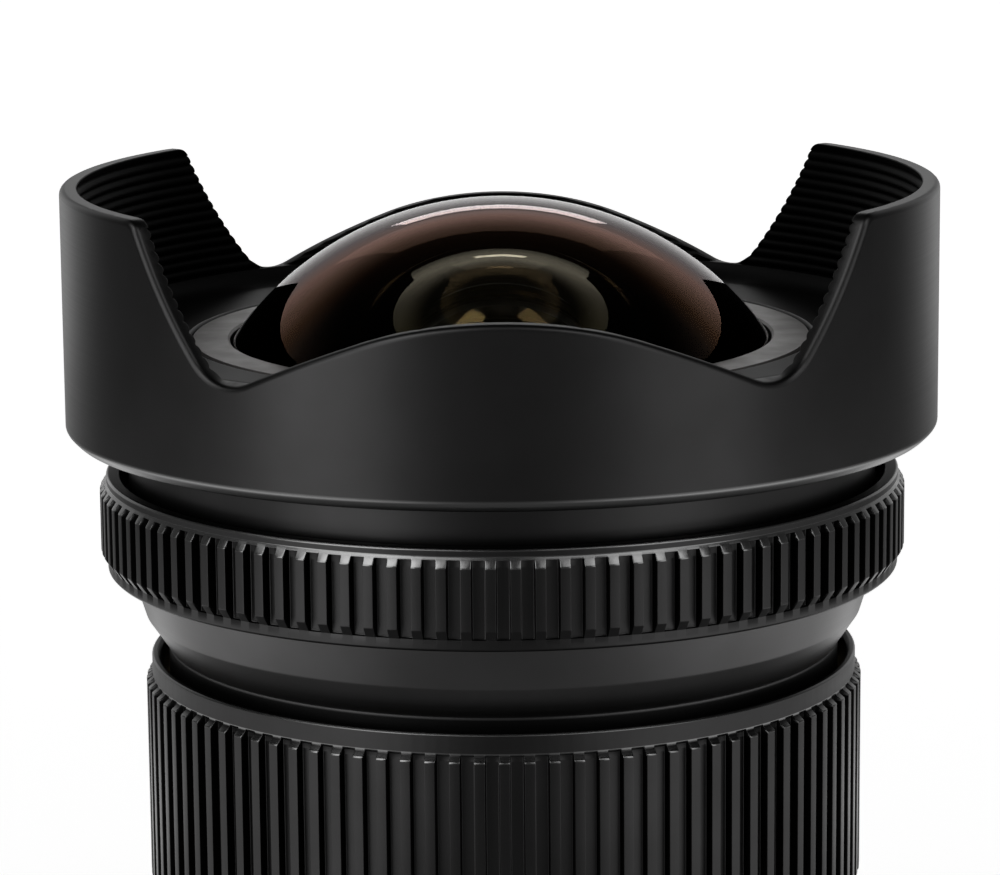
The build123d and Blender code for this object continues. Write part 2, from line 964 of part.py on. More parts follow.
# Iris base: floor with the pivot holes and a rim that the cam ring turns in
cam_top = cam_low + cam_thickness
window_reach = degrees((link_radius + side_gap) / iris_rim_bore)
iris_screw_start = link_angle + aperture_travel / 2 + screw_stagger
rear_screw_start = iris_screw_start + screw_stagger
with BuildPart() as iris_base:
    turned(
        (open_radius, iris_floor_low),
        (iris_rim_radius, iris_floor_low),
        (iris_rim_radius, cell_foot),
        (iris_rim_bore, cell_foot),
        (iris_rim_bore, iris_floor_top),
        (open_radius, iris_floor_top),
    )
    pins(
        pin_radius + running_gap,
        iris_floor_top - pivot_depth - tip_gap,
        iris_floor_top,
        pivot_radius,
        blade_count,
        0,
        Mode.SUBTRACT,
    )
    cap_screws(
        iris_screw_radius,
        iris_screw_head,
        cell_foot,
        iris_floor_low + iris_screw_head_height,
        iris_floor_low,
        iris_screw_circle,
        iris_screw_count,
        iris_screw_start,
        screw_gap,
        Mode.SUBTRACT,
    )
    pins(
        iris_screw_radius + screw_gap,
        iris_floor_low,
        iris_floor_low + rear_screw_reach + tip_gap,
        iris_screw_circle,
        rear_screw_count,
        rear_screw_start,
        Mode.SUBTRACT,
    )
    arc_window(
        iris_rim_bore - overshoot,
        iris_rim_radius + overshoot,
        link_height - link_radius - side_gap,
        cell_foot,
        link_angle - window_reach,
        link_angle + aperture_travel + window_reach,
    )
save(iris_base, "iris_base")

with BuildPart() as iris_screws:
    cap_screws(
        iris_screw_radius,
        iris_screw_head,
        cell_foot + cell_foot_height - tip_gap,
        iris_floor_low + iris_screw_head_height,
        iris_floor_low + iris_head_recess,
        iris_screw_circle,
        iris_screw_count,
        iris_screw_start,
    )
save(iris_screws, "iris_screws")


# Cam ring: each slot is the path of its drive pin, so blades and ring keep one steady ratio
with BuildPart() as iris_cam_ring:
    ring(iris_rim_bore - running_gap, cam_bore, cam_low, cam_top)
    for blade in range(blade_count):
        turn = blade * blade_step
        with BuildSketch(Plane.XY.offset(cam_low).rotated((0, 0, turn))) as cam_slot:
            with BuildLine(mode=Mode.PRIVATE) as slot_path:
                ThreePointArc(slot_point(0), slot_point(0.5), slot_point(1))
            SlotArc(slot_path.edge(), 2 * (pin_radius + running_gap))
        extrude(cam_slot.sketch, amount=cam_thickness, mode=Mode.SUBTRACT)
    radial_pins(
        link_radius + seat_gap,
        link_inner,
        iris_rim_bore + overshoot,
        link_height,
        (link_angle,),
        Mode.SUBTRACT,
    )
save(iris_cam_ring, "iris_cam_ring")

with BuildPart() as iris_washer:
    ring(
        iris_rim_bore - washer_gap,
        iris_rim_bore - washer_gap - washer_width,
        cell_foot - washer_thickness,
        cell_foot,
    )
save(iris_washer, "iris_washer")

# Iris blades: one thin crescent in each layer, with a pivot pin below and a drive pin above
drive_x, drive_y = drive_pin_at(0)
for blade in range(blade_count):
    turn = blade * blade_step
    layer = iris_floor_top + blade_lift + blade * blade_pitch
    with BuildPart() as iris_blade:
        with BuildSketch(Plane.XY.offset(layer).rotated((0, 0, turn))) as leaf:
            with BuildLine():
                sweep_angle = blade_tail + blade_tip
                inner_arc = CenterArc((0, 0), blade_inner, -blade_tail, sweep_angle)
                outer_arc = CenterArc((0, 0), blade_outer, -blade_tail, sweep_angle)
                Line(inner_arc @ 0, outer_arc @ 0)
                Line(inner_arc @ 1, outer_arc @ 1)
            make_face()
        with BuildSketch(Plane.XY.offset(layer).rotated((0, 0, turn))) as tab:
            with BuildLine():
                Polyline(
                    (blade_outer - 1.5, -blade_outer * sin(radians(blade_tail)) + 0.4),
                    (drive_x - tab_radius, drive_y),
                    (drive_x, drive_y - tab_radius),
                    (drive_x + tab_radius, drive_y),
                    (pivot_radius + tab_radius, 0),
                    (pivot_radius, tab_radius),
                    (blade_outer - 1.0, tab_radius + 1.2),
                    close=True,
                )
            make_face()
            with Locations((pivot_radius, 0), (drive_x, drive_y)):
                Circle(tab_radius)
        extrude(leaf.sketch, amount=blade_thickness)
        extrude(tab.sketch, amount=blade_thickness)
        with BuildSketch(Plane.XY.offset(iris_floor_top - pivot_depth).rotated((0, 0, turn))) as pivot:
            with Locations((pivot_radius, 0)):
                Circle(pin_radius)
        extrude(pivot.sketch, amount=layer - iris_floor_top + pivot_depth)
        with BuildSketch(Plane.XY.offset(layer).rotated((0, 0, turn))) as drive:
            with Locations((drive_x, drive_y)):
                Circle(pin_radius)
        extrude(drive.sketch, amount=cam_low + drive_depth - layer)
    save(iris_blade, f"iris_blade_{blade + 1}")

# Front element and the ring that holds it
front_apex = floor_height + front_rise
front_centre = front_apex - front_radius
front_rim_height = front_centre + sqrt(front_radius**2 - front_rim**2)
front_edge_low = front_rim_height - front_edge_thickness
front_back_apex = front_edge_low + rise(front_back_radius, front_back_rim)
with BuildPart() as element_1:
    glass(
        front_apex,
        front_radius,
        front_rim,
        front_edge_low,
        front_back_apex,
        front_back_radius,
        front_back_rim,
    )
save(element_1, "element_1")

name_ring_low = floor_height - name_ring_height
land_radius = sqrt((front_radius + seat_gap) ** 2 - (name_ring_low - front_centre) ** 2)
with BuildPart() as name_ring:
    turned(
        (land_radius, name_ring_low),
        (name_ring_radius, name_ring_low),
        (name_ring_radius, floor_height - name_ring_bevel),
        (name_ring_radius - name_ring_bevel, floor_height),
        (name_ring_inner + name_ring_bevel, floor_height),
        (name_ring_inner, floor_height - name_ring_bevel),
    )
save(name_ring, "name_ring")

gasket_low = front_edge_low - gasket_thickness
with BuildPart() as front_gasket:
    ring(front_rim, front_rim - gasket_width, gasket_low, front_edge_low)
save(front_gasket, "front_gasket")

second_edge_high = gasket_low - second_space - retainer_height
second_edge_low = second_edge_high - second_edge
with BuildPart() as element_2:
    glass(
        second_edge_high + rise(second_radius, second_rim),
        second_radius,
        second_rim,
        second_edge_low,
        second_edge_low + rise(second_back_radius, second_back_rim),
        second_back_radius,
        second_back_rim,
    )
save(element_2, "element_2")

third_edge_low = cell_foot + third_ledge
third_edge_high = third_edge_low + third_edge
with BuildPart() as element_3:
    glass(
        third_edge_high + rise(third_radius, third_rim),
        third_radius,
        third_rim,
        third_edge_low,
        third_edge_low + rise(third_back_radius, third_back_rim),
        third_back_radius,
        third_back_rim,
    )
save(element_3, "element_3")


with BuildPart() as retainer_2:
    retainer(second_retainer_radius, second_rim, second_radius, second_edge_high)
save(retainer_2, "retainer_2")

with BuildPart() as retainer_3:
    retainer(third_retainer_radius, third_rim, third_radius, third_edge_high)
save(retainer_3, "retainer_3")

# Front cell: stepped seats for the three front elements, screwed down by the hood
with BuildPart() as front_cell:
    turned(
        (name_ring_radius + seat_gap, cell_top),
        (neck_radius - cell_flange_gap, cell_top),
        (neck_radius - cell_flange_gap, cell_flange_low),
        (cell_radius, cell_flange_low),
        (cell_radius, cell_flange_low - cell_cone_start),
        (iris_rim_radius, cell_foot + cell_foot_height),
        (iris_rim_radius, cell_foot),
        (third_back_rim + third_land, cell_foot),
        (third_back_rim + third_land, third_edge_low),
        (third_rim + seat_gap, third_edge_low),
        (third_rim + seat_gap, third_edge_high),
        (third_retainer_radius + seat_gap, third_edge_high),
        (third_retainer_radius + seat_gap, second_edge_low),
        (second_rim + seat_gap, second_edge_low),
        (second_rim + seat_gap, second_edge_high),
        (second_retainer_radius + seat_gap, second_edge_high),
        (second_retainer_radius + seat_gap, gasket_low),
        (front_rim + seat_gap, gasket_low),
        (front_rim + seat_gap, name_ring_low),
        (name_ring_radius + seat_gap, name_ring_low),
    )
    pins(
        iris_screw_radius + screw_gap,
        cell_foot,
        cell_foot + cell_foot_height,
        iris_screw_circle,
        iris_screw_count,
        iris_screw_start,
        Mode.SUBTRACT,
    )
save(front_cell, "front_cell")

# Rear cell and its glass, from the iris towards the mount
rear_cell_top = iris_floor_low
rear_cell_low = rear_cell_top - rear_cell_length
rear_cell_step = rear_cell_low + rear_cell_skirt
fourth_apex = rear_cell_top - fourth_depth
fourth_edge_high = fourth_apex - rise(fourth_radius, fourth_rim)
fourth_edge_low = fourth_edge_high - fourth_edge
fourth_back_apex = fourth_edge_low - rise(fourth_back_radius, fourth_rim)
with BuildPart() as element_4:
    glass(
        fourth_apex,
        fourth_radius,
        fourth_rim,
        fourth_edge_low,
        fourth_back_apex,
        -fourth_back_radius,
        fourth_rim,
    )
save(element_4, "element_4")

with BuildPart() as retainer_4:
    retainer(fourth_retainer_radius, fourth_rim, fourth_radius, fourth_edge_high)
save(retainer_4, "retainer_4")

doublet_apex = fourth_back_apex - doublet_space
doublet_edge_high = doublet_apex - rise(doublet_front_radius, doublet_rim)
joint_apex = doublet_apex - doublet_centre
joint_edge = joint_apex - rise(doublet_joint_radius, doublet_rim)
with BuildPart() as element_5:
    glass(
        doublet_apex,
        doublet_front_radius,
        doublet_rim,
        joint_edge,
        joint_apex,
        doublet_joint_radius,
        doublet_rim,
    )
save(element_5, "element_5")

doublet_edge_low = joint_edge - cement_gap - doublet_rear_edge
with BuildPart() as element_6:
    glass(
        joint_apex - cement_gap,
        doublet_joint_radius,
        doublet_rim,
        doublet_edge_low,
        doublet_edge_low - rise(doublet_back_radius, doublet_rim),
        -doublet_back_radius,
        doublet_rim,
    )
save(element_6, "element_6")

rear_back_apex = rear_cell_low + rear_depth
rear_edge_low = rear_back_apex + rise(rear_back_radius, rear_rim)
rear_edge_high = rear_edge_low + rear_edge
rear_apex = rear_edge_high + rise(rear_front_radius, rear_rim)
with BuildPart() as element_7:
    glass(
        rear_apex,
        rear_front_radius,
        rear_rim,
        rear_edge_low,
        rear_back_apex,
        -rear_back_radius,
        rear_rim,
    )
save(element_7, "element_7")

spacer_step = rear_edge_high + spacer_flange
spacer_inner = doublet_rim - retainer_lip
spacer_lift = retainer_lip * rim_slope(doublet_back_radius, doublet_rim)
rear_lift = retainer_lip * rim_slope(rear_front_radius, rear_rim)
with BuildPart() as spacer:
    turned(
        (spacer_inner, doublet_edge_low - spacer_lift),
        (doublet_rim, doublet_edge_low),
        (doublet_rim, spacer_step),
        (rear_rim, spacer_step),
        (rear_rim, rear_edge_high),
        (rear_rim - retainer_lip, rear_edge_high + rear_lift),
        (spacer_inner, rear_apex),
    )
save(spacer, "spacer")

with BuildPart() as rear_retainer:
    retainer(rear_retainer_radius, rear_rim, rear_back_radius, rear_edge_low, -1)
save(rear_retainer, "rear_retainer")

fourth_lift = retainer_lip * rim_slope(fourth_back_radius, fourth_rim)
doublet_lift = retainer_lip * rim_slope(doublet_front_radius, doublet_rim)
with BuildPart() as rear_cell:
    turned(
        (fourth_retainer_radius + seat_gap, rear_cell_top),
        (iris_rim_radius, rear_cell_top),
        (iris_rim_radius, rear_cell_top - rear_cell_flange),
        (rear_cell_neck, rear_cell_top - rear_cell_flange),
        (rear_cell_neck, rear_cell_step + rear_cell_taper),
        (rear_cell_radius, rear_cell_step),
        (rear_cell_radius, rear_cell_low),
        (rear_retainer_radius + seat_gap, rear_cell_low),
        (rear_retainer_radius + seat_gap, rear_edge_low),
        (rear_rim + seat_gap, rear_edge_low),
        (rear_rim + seat_gap, spacer_step),
        (doublet_rim + seat_gap, spacer_step),
        (doublet_rim + seat_gap, doublet_edge_high),
        (doublet_rim, doublet_edge_high),
        (doublet_rim - retainer_lip, doublet_edge_high + doublet_lift),
        (doublet_rim - retainer_lip, fourth_back_apex),
        (fourth_rim - retainer_lip, fourth_back_apex),
        (fourth_rim - retainer_lip, fourth_edge_low - fourth_lift),
        (fourth_rim, fourth_edge_low),
        (fourth_rim + seat_gap, fourth_edge_low),
        (fourth_rim + seat_gap, fourth_edge_high),
        (fourth_retainer_radius + seat_gap, fourth_edge_high),
    )
    pins(
        iris_screw_radius + screw_gap,
        rear_cell_top - rear_cell_flange,
        rear_cell_top,
        iris_screw_circle,
        rear_screw_count,
        rear_screw_start,
        Mode.SUBTRACT,
    )
save(rear_cell, "rear_cell")

with BuildPart() as rear_cell_screws:
    cap_screws(
        iris_screw_radius,
        iris_screw_head,
        rear_cell_top + rear_screw_reach,
        rear_cell_top - rear_cell_flange,
        rear_cell_top - rear_cell_flange - iris_screw_head_height,
        iris_screw_circle,
        rear_screw_count,
        rear_screw_start,
    )
save(rear_cell_screws, "rear_cell_screws")

# Petal hood: a turned cup whose rim is cut by radial notches into two tall and two low petals
hood_inner = hood_radius - hood_wall
hood_bore = neck_radius + seat_gap
pocket_outer = hood_radius - hood_skirt_wall
pocket_inner = hood_bore + hood_hub_wall
fillet_height = hood_inner - hood_floor_radius
crown_corner = -crown_drop + crown_radius * (1 / cos(radians(crown_slope)) - 1)
flank_top = hood_radius * tan(radians(flank_angle))
valley_corner_x = (crown_corner + flank_top * tan(radians(flank_slope))) / (
    tan(radians(crown_slope)) + tan(radians(flank_slope))
)
valley_corner = crown_corner - valley_corner_x * tan(radians(crown_slope))
notch_wide = flank_top + notch_over / tan(radians(flank_slope))


def notch_outline(stretch):
    """The notch in a plane square to Y, stretched sideways with the plane's distance from the axis."""
    with BuildSketch(Plane.XZ.offset(stretch * hood_radius)) as outline:
        with BuildLine():
            rim = FilletPolyline(
                (-notch_wide, hood_top + notch_over),
                (-valley_corner_x, hood_top + valley_corner),
                (0, hood_top + crown_corner),
                (valley_corner_x, hood_top + valley_corner),
                (notch_wide, hood_top + notch_over),
                radius=(valley_radius, crown_radius, valley_radius),
            )
            Line(rim @ 1, rim @ 0)
        make_face()
        scale(by=(stretch, 1, 1))
    return outline.sketch


def on_wall(edge, radius):
    """Whether an edge lies on a cylinder about the axis, above the notches' lowest point."""
    points = [edge @ share for share in (0, 0.5, 1)]
    return min(point.Z for point in points) > hood_top + valley_corner and all(
        abs(hypot(point.X, point.Y) - radius) < same_place for point in points
    )


with BuildPart() as notch:
    loft([notch_outline(notch_near), notch_outline(notch_far)], ruled=True)

with BuildPart() as petal_hood:
    with BuildSketch(Plane.XZ) as hood_section:
        with BuildLine():
            Polyline(
                (hood_inner, floor_height + fillet_height),
                (hood_inner, hood_top),
                (hood_radius, hood_top),
                (hood_radius, hood_low + hood_bottom_bevel),
                (hood_radius - hood_bottom_bevel, hood_low),
                (pocket_outer, hood_low),
                (pocket_outer, hood_low + hood_pocket_depth),
                (pocket_inner, hood_low + hood_pocket_depth),
                (pocket_inner, hood_low),
                (hood_bore, hood_low),
                (hood_bore, floor_height - hood_floor),
                (name_ring_radius + name_ring_gap, floor_height - hood_floor),
                (name_ring_radius + name_ring_gap, floor_height - hood_bore_bevel),
                (name_ring_radius + name_ring_gap + hood_bore_bevel, floor_height),
                (hood_floor_radius, floor_height),
            )
            RadiusArc(
                (hood_floor_radius, floor_height),
                (hood_inner, floor_height + fillet_height),
                -fillet_height,
            )
        make_face()
    revolve(hood_section.sketch, axis=Axis.Z)
    add(notch.part, mode=Mode.SUBTRACT)
    add(notch.part.mirror(Plane.XZ), mode=Mode.SUBTRACT)
    top_edges = petal_hood.edges().group_by(Axis.Z)[-1]
    across = top_edges.filter_by(lambda edge: edge.length < 2 * hood_wall)
    fillet(across, petal_corner_radius)
    fillet(petal_hood.edges().filter_by(lambda edge: on_wall(edge, hood_radius)), hood_edge_round)
    fillet(petal_hood.edges().filter_by(lambda edge: on_wall(edge, hood_inner)), petal_edge_round)
    ridge_points = [(hood_inner - hood_wall, hood_top - ridge_start)]
    for ridge in range(ridge_count):
        ridge_top = hood_top - ridge_start - ridge * ridge_pitch
        ridge_points.append((hood_inner, ridge_top))
        ridge_points.append((hood_inner + ridge_depth, ridge_top - ridge_pitch / 2))
    ridge_points.append((hood_inner, hood_top - ridge_start - ridge_count * ridge_pitch))
    ridge_points.append((hood_inner - hood_wall, hood_top - ridge_start - ridge_count * ridge_pitch))
    turned(*ridge_points, mode=Mode.SUBTRACT)
save(petal_hood, "petal_hood")
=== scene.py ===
"""Looks of the ultra-wide prime lens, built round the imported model."""

import json
from math import asin, atan, cos, degrees, pi, radians, sin, sqrt, tan

import bmesh
import bpy
from mathutils import Matrix, Vector


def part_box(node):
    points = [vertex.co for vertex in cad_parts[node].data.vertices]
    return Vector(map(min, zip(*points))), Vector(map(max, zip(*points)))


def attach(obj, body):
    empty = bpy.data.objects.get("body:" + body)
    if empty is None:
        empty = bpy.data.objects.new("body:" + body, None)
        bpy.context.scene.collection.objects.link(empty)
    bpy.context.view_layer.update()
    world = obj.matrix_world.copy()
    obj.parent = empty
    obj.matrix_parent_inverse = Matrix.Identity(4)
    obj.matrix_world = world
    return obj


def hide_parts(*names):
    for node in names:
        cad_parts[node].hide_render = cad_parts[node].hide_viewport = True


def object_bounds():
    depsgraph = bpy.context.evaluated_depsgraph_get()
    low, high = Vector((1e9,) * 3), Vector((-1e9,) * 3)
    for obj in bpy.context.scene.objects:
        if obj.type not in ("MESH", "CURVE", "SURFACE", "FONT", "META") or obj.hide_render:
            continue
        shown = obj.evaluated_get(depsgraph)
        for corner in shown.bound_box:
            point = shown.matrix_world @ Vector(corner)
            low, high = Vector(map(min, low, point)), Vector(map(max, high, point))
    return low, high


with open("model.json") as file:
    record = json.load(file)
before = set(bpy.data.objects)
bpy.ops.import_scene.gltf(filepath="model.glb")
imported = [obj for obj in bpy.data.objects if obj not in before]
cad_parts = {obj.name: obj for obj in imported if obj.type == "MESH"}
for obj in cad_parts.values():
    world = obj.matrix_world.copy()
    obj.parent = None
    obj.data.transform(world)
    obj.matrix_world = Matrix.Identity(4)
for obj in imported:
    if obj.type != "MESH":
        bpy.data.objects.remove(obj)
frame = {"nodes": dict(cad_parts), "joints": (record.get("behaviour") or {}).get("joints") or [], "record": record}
cad_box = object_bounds()
nodes = frame["nodes"]
joints = {joint["name"]: joint for joint in frame["joints"]}

# Every size is in millimetres and every angle in degrees, unless its comment says otherwise
MM = 0.001


def heights(node):
    """A node's lowest and highest height, to a micrometre."""
    low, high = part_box(node)
    return round(low.z / MM, 3), round(high.z / MM, 3)


# Camera: its place from the centre of the hood's rim, its tilt, and its lens
CAMERA_SIDE = -0.158
CAMERA_AWAY = 381.3
CAMERA_ABOVE = 52.2
CAMERA_PITCH = 11.314
CAMERA_ROLL = -0.507
CAMERA_LENS = 151.64
SENSOR_WIDTH = 36.0
CLIP_START = 10.0
CLIP_END = 50000.0

# Black anodised metal: the share that it mirrors face on, and at the edge
BODY_SHEEN = 0.011
# The sleeve mirrors more than the body: a painted sheen, a lit copy of the same metal
SLEEVE_PAINTED_SHEEN = 0.03
# What walls mirror under a painted highlight and under a painted shade
PAINTED_HIGHLIGHT_SHEEN = 0.055
PAINTED_SHADE_SHEEN = 0.0025
EDGE_SHEEN = 0.55

# Its roughness on plain walls, and what a painted highlight and a painted shade make of that
PLAIN_ROUGHNESS = (0.33, 0.36)
HIGHLIGHT_ROUGHNESS_SHARE = 0.65
SHADE_ROUGHNESS_SHARE = 1.5

# The mesh attribute that marks painted light on a wall, from painted shade over none (0) to painted highlight
PAINTED_LIGHT = "painted_light"
PAINTED_HIGHLIGHT = 1
PAINTED_SHADE = -1
# Strengths of the painted highlights (above 0) and painted shades (below 0) at marked places
HOOD_BEVEL_HIGHLIGHT = 0.7
FOCUS_STEP_HIGHLIGHT = 0.7
FOCUS_LIP_HIGHLIGHT = 0.6
FLOOR_SHADE = -0.6
SEAT_HIGHLIGHT = 0.3
NECK_SHADE = -0.3

# How much a lens coating mirrors, in red, green and blue, from face on (0) to edge on (1)
OUTER_COATING = [
    (0.0, (0.002, 0.003, 0.002)),
    (0.3, (0.006, 0.005, 0.005)),
    (0.42, (0.018, 0.013, 0.01)),
    (0.5, (0.036, 0.019, 0.011)),
    (0.58, (0.07, 0.042, 0.03)),
    (0.66, (0.135, 0.082, 0.068)),
    (0.75, (0.12, 0.105, 0.105)),
    (0.8, (0.2, 0.19, 0.19)),
    (0.86, (0.4, 0.39, 0.39)),
    (1.0, (1.0, 1.0, 1.0)),
]
HIDDEN_COATING = [(0.0, (0.0, 0.0, 0.0)), (1.0, (0.001, 0.001, 0.001))]
GOLDEN_COATING = [
    (0.0, (0.015, 0.011, 0.006)),
    (0.3, (0.032, 0.027, 0.016)),
    (0.5, (0.06, 0.052, 0.04)),
    (0.7, (0.16, 0.14, 0.11)),
    (0.8, (0.4, 0.36, 0.28)),
    (1.0, (0.6, 0.56, 0.5)),
]
BACK_COATING = [(0.0, (0.012, 0.008, 0.003)), (0.4, (0.03, 0.02, 0.012)), (1.0, (0.1, 0.08, 0.06))]
GREEN_COATING = [(0.0, (0.008, 0.011, 0.002)), (0.5, (0.03, 0.03, 0.008)), (1.0, (0.2, 0.18, 0.12))]

# The two big elements: front radius and rim, back radius and rim, and the edge's thickness
FIRST_GLASS = (30.25, 26.5, 17.6, 17.1, 1.55)
SECOND_GLASS = (20.0, 17.5, 10.5, 10.1, 1.5)
FIRST_INDEX = 2.0
SECOND_INDEX = 1.6
GLASS_TINT = (0.97, 0.98, 0.97)
LENS_RINGS = 72
LENS_COLUMNS = 256

# A point this near to the front face counts as on it, and light this near to the critical angle, as a
# share of facing, stays inside
FACE_MARGIN = 0.06
STEEP_MARGIN = 0.06

# Petal hood: the wall, the floor round the name ring, and the pocket under it
HOOD_LOW, HOOD_TOP = heights("petal_hood")
HOOD_RADIUS = 40.0
HOOD_INNER = 38.4
HOOD_BORE = 34.43
HOOD_BEVEL = 0.7
HOOD_FADE = 0.4
HOOD_WALL_START = 1.0
HOOD_FLOOR = HOOD_LOW + 8.3
HOOD_FLOOR_EDGE = 35.6
HOOD_UNDERSIDE = HOOD_FLOOR - 0.93
POCKET_BORE = 36.23
POCKET_WALL = 38.3
POCKET_TOP = HOOD_LOW + 4.2
SEAT_RADIUS = 28.52
SEAT_BEVEL = 0.3
DISH_STEPS = 8

# The hood's rim from a low petal's middle: its round crown, its straight slope, a valley, and the tall
# petal's flank. Both slopes are in radians
CROWN_DROP = 6.68
CROWN_RADIUS = 42.0
CROWN_SLOPE = radians(17.2)
FLANK_SLOPE = radians(33.4)
FLANK_TOP = HOOD_RADIUS * tan(radians(52.1))
VALLEY_RADIUS = 10.7
CORNER_REACH = 1.1
CORNER_STEPS = 40

# The rim's rounding outside and inside, and how far apart its columns stand
OUTER_ROUND = 0.6
INNER_ROUND = 0.12
OUTER_STEPS = 5
INNER_STEPS = 4
RIM_SAMPLES = 2000
RIM_STEP = 0.86
STEEP_WEIGHT = 6.0

# The ridges inside the hood, and the rows of each, from its upper edge (-1) to its lower one (1)
RIDGE_COUNT = 13
RIDGE_PITCH = 0.93
RIDGE_DEPTH = 0.45
RIDGES_TOP = HOOD_TOP - 0.75
RIDGES_LOW = RIDGES_TOP - RIDGE_COUNT * RIDGE_PITCH
RIDGE_ROWS = (-1.0, -0.88, -0.5, 0.0, 0.5, 0.88)

# Aperture ring: its radii, its heights, and the slanted ends of its ribs
APERTURE_LOW, APERTURE_TOP = heights("aperture_ring")
APERTURE_BORE = 33.66
APERTURE_THROAT = 35.2
APERTURE_RIM = 36.46
APERTURE_RIB = 37.06
APERTURE_FLOOR = 36.1
APERTURE_GRIP_LOW = APERTURE_LOW + 1.05
APERTURE_GRIP_HIGH = APERTURE_TOP - 0.72
APERTURE_STEP = APERTURE_TOP - 2.76
APERTURE_SLOPE = 0.85
APERTURE_EDGE = 0.2
APERTURE_LIP = 0.14
APERTURE_RIBS = 110
GROOVE_END = 0.25

# Focus ring, likewise
FOCUS_LOW, FOCUS_TOP = heights("focus_ring")
FOCUS_BORE = 30.36
FOCUS_THROAT = 31.8
FOCUS_RIM = 32.65
FOCUS_RIB = 33.2
FOCUS_FLOOR = 32.35
FOCUS_GRIP_LOW = FOCUS_LOW + 6.0
FOCUS_GRIP_HIGH = FOCUS_TOP - 2.0
FOCUS_STEP = FOCUS_TOP - 4.39
FOCUS_SLOPE = 0.42
FOCUS_BEVEL = 0.35
FOCUS_LIP = 0.16
FOCUS_SHOULDER = 0.2
FOCUS_FADE = 0.12
LIP_FADE = 0.04
GROOVE_FADE = 0.5
FOCUS_RIBS = 96

# Ribs of both rings: the share that they take of the ring, the rounding at their edges and roots, how
# far their sides slant, and where on a rounding its middle point lies
RIB_SHARE = 0.43
RIB_EDGE = 0.07
RIB_ROOT = 0.12
RIB_SLANT = 0.02
ROUND_SHARE = 0.3

# Scale sleeve: a neck, then two cones that meet at a crease
SLEEVE_LOW, SLEEVE_TOP = heights("scale_sleeve")
SLEEVE_BORE = 30.23
SLEEVE_RADIUS = 34.3
NECK_RADIUS = 31.05
NECK_TOP = SLEEVE_TOP - 7.0
NECK_STEP = 0.2
NECK_FADE = 0.3
CREASE_RADIUS = 33.1
CREASE_HEIGHT = SLEEVE_TOP - 4.0
SLEEVE_EDGE = (0.1, 0.15)

# The fixed base, and the gap between it and the focus ring
BASE_RADIUS = 32.2
BASE_TOP = FOCUS_LOW - 0.3

# Painted numbers and marks: how far they stand out and sink in, their sizes and places
PAINT_DEPTH = 0.03
PAINT_SINK = 0.01
STOPS = ("2.8", "4", "5.6", "8", "11", "16")
STOP_SIZE = 1.55
STOP_HEIGHT = SLEEVE_TOP - 2.06
STOP_MARK = (0.16, 0.55)
STOP_MARK_LOW = SLEEVE_TOP - 0.71
APERTURE_INDEX = (0.3, 0.75)
APERTURE_INDEX_LOW = APERTURE_LOW + 0.25
DISTANCES = ("0.2", "0.25", "0.3", "0.5", "1")
DISTANCE_SIZE = 2.3
DISTANCE_HEIGHT = (FOCUS_LOW + FOCUS_GRIP_LOW) / 2
FOCUS_INDEX = (0.4, 2.0)
FOCUS_INDEX_LOW = BASE_TOP - 2.6

# What the scales are worked out from: the radii of the blades' opening at rest and of the widest stop,
# the blades' pivots and joints, the focal length, the nearest distance and the focus joints
OPEN_RADIUS = 5.7
WIDEST_RADIUS = 5.6
PIVOT_RADIUS = joints["blade_1_swing"]["pos_m"][0] / MM
BLADE_RATIO = joints["blade_1_swing"]["range_deg"][1] / joints["aperture_turn"]["range_deg"][1]
FOCAL_LENGTH = 14.0
NEAREST = 200.0
FOCUS_TRAVEL = joints["focus_extend"]["range_m"][1] / MM
FOCUS_TURN = joints["focus_turn"]["range_deg"][1]

# Roundings of corners, from one that only marks where a finish changes to the widest, how far a finish
# takes to change, and how much of a side a rounding may take
MARK_ROUND = 0.01
END_ROUND = 0.03
FINE_ROUND = 0.05
EDGE_ROUND = 0.06
RING_ROUND = 0.08
SOFT_ROUND = 0.1
CREASE_ROUND = 0.12
BEVEL_ROUND = 0.2
WIDE_ROUND = 0.3
FADE = 0.1
SIDE_SHARE = 0.45

# Mesh work: points nearer than this are one, edges sharper than this stay sharp, and facets and segments
WELD = 0.0005
TINY = 1e-6
SHARP_ANGLE = 40
LATHE_SEGMENTS = 360
CORNER_FACETS = 3
RIB_FACETS = 2

# The room by direction: a white wall behind (Y), dimmer at the sides, and nearly dark above (Z)
WALL_SIDE = 0.3
WALL_BEHIND = 0.8
WALL_TOP_START = 0.45
WALL_TOP_END = 0.72
WALL_GLOW = 0.8
SIDE_GLOW = 0.4
ROOM_SHARE = 0.08

# The floor, in metres. The camera sees it evenly lit, and the lens mirrors it dim, with a bright card
# lying at each side
FLOOR_REACH = 6.0
FLOOR_COLOUR = 0.85
FLOOR_GLOW = 0.8
LOW_GLOW = 0.5
CARD_GLOW = 5.0
CARD_INNER_SIDE = (0.04, 0.1)
CARD_START = (0.06, 0.13)
CARD_END = (0.18, 0.3)
CARD_BACK = (0.08, 0.14)


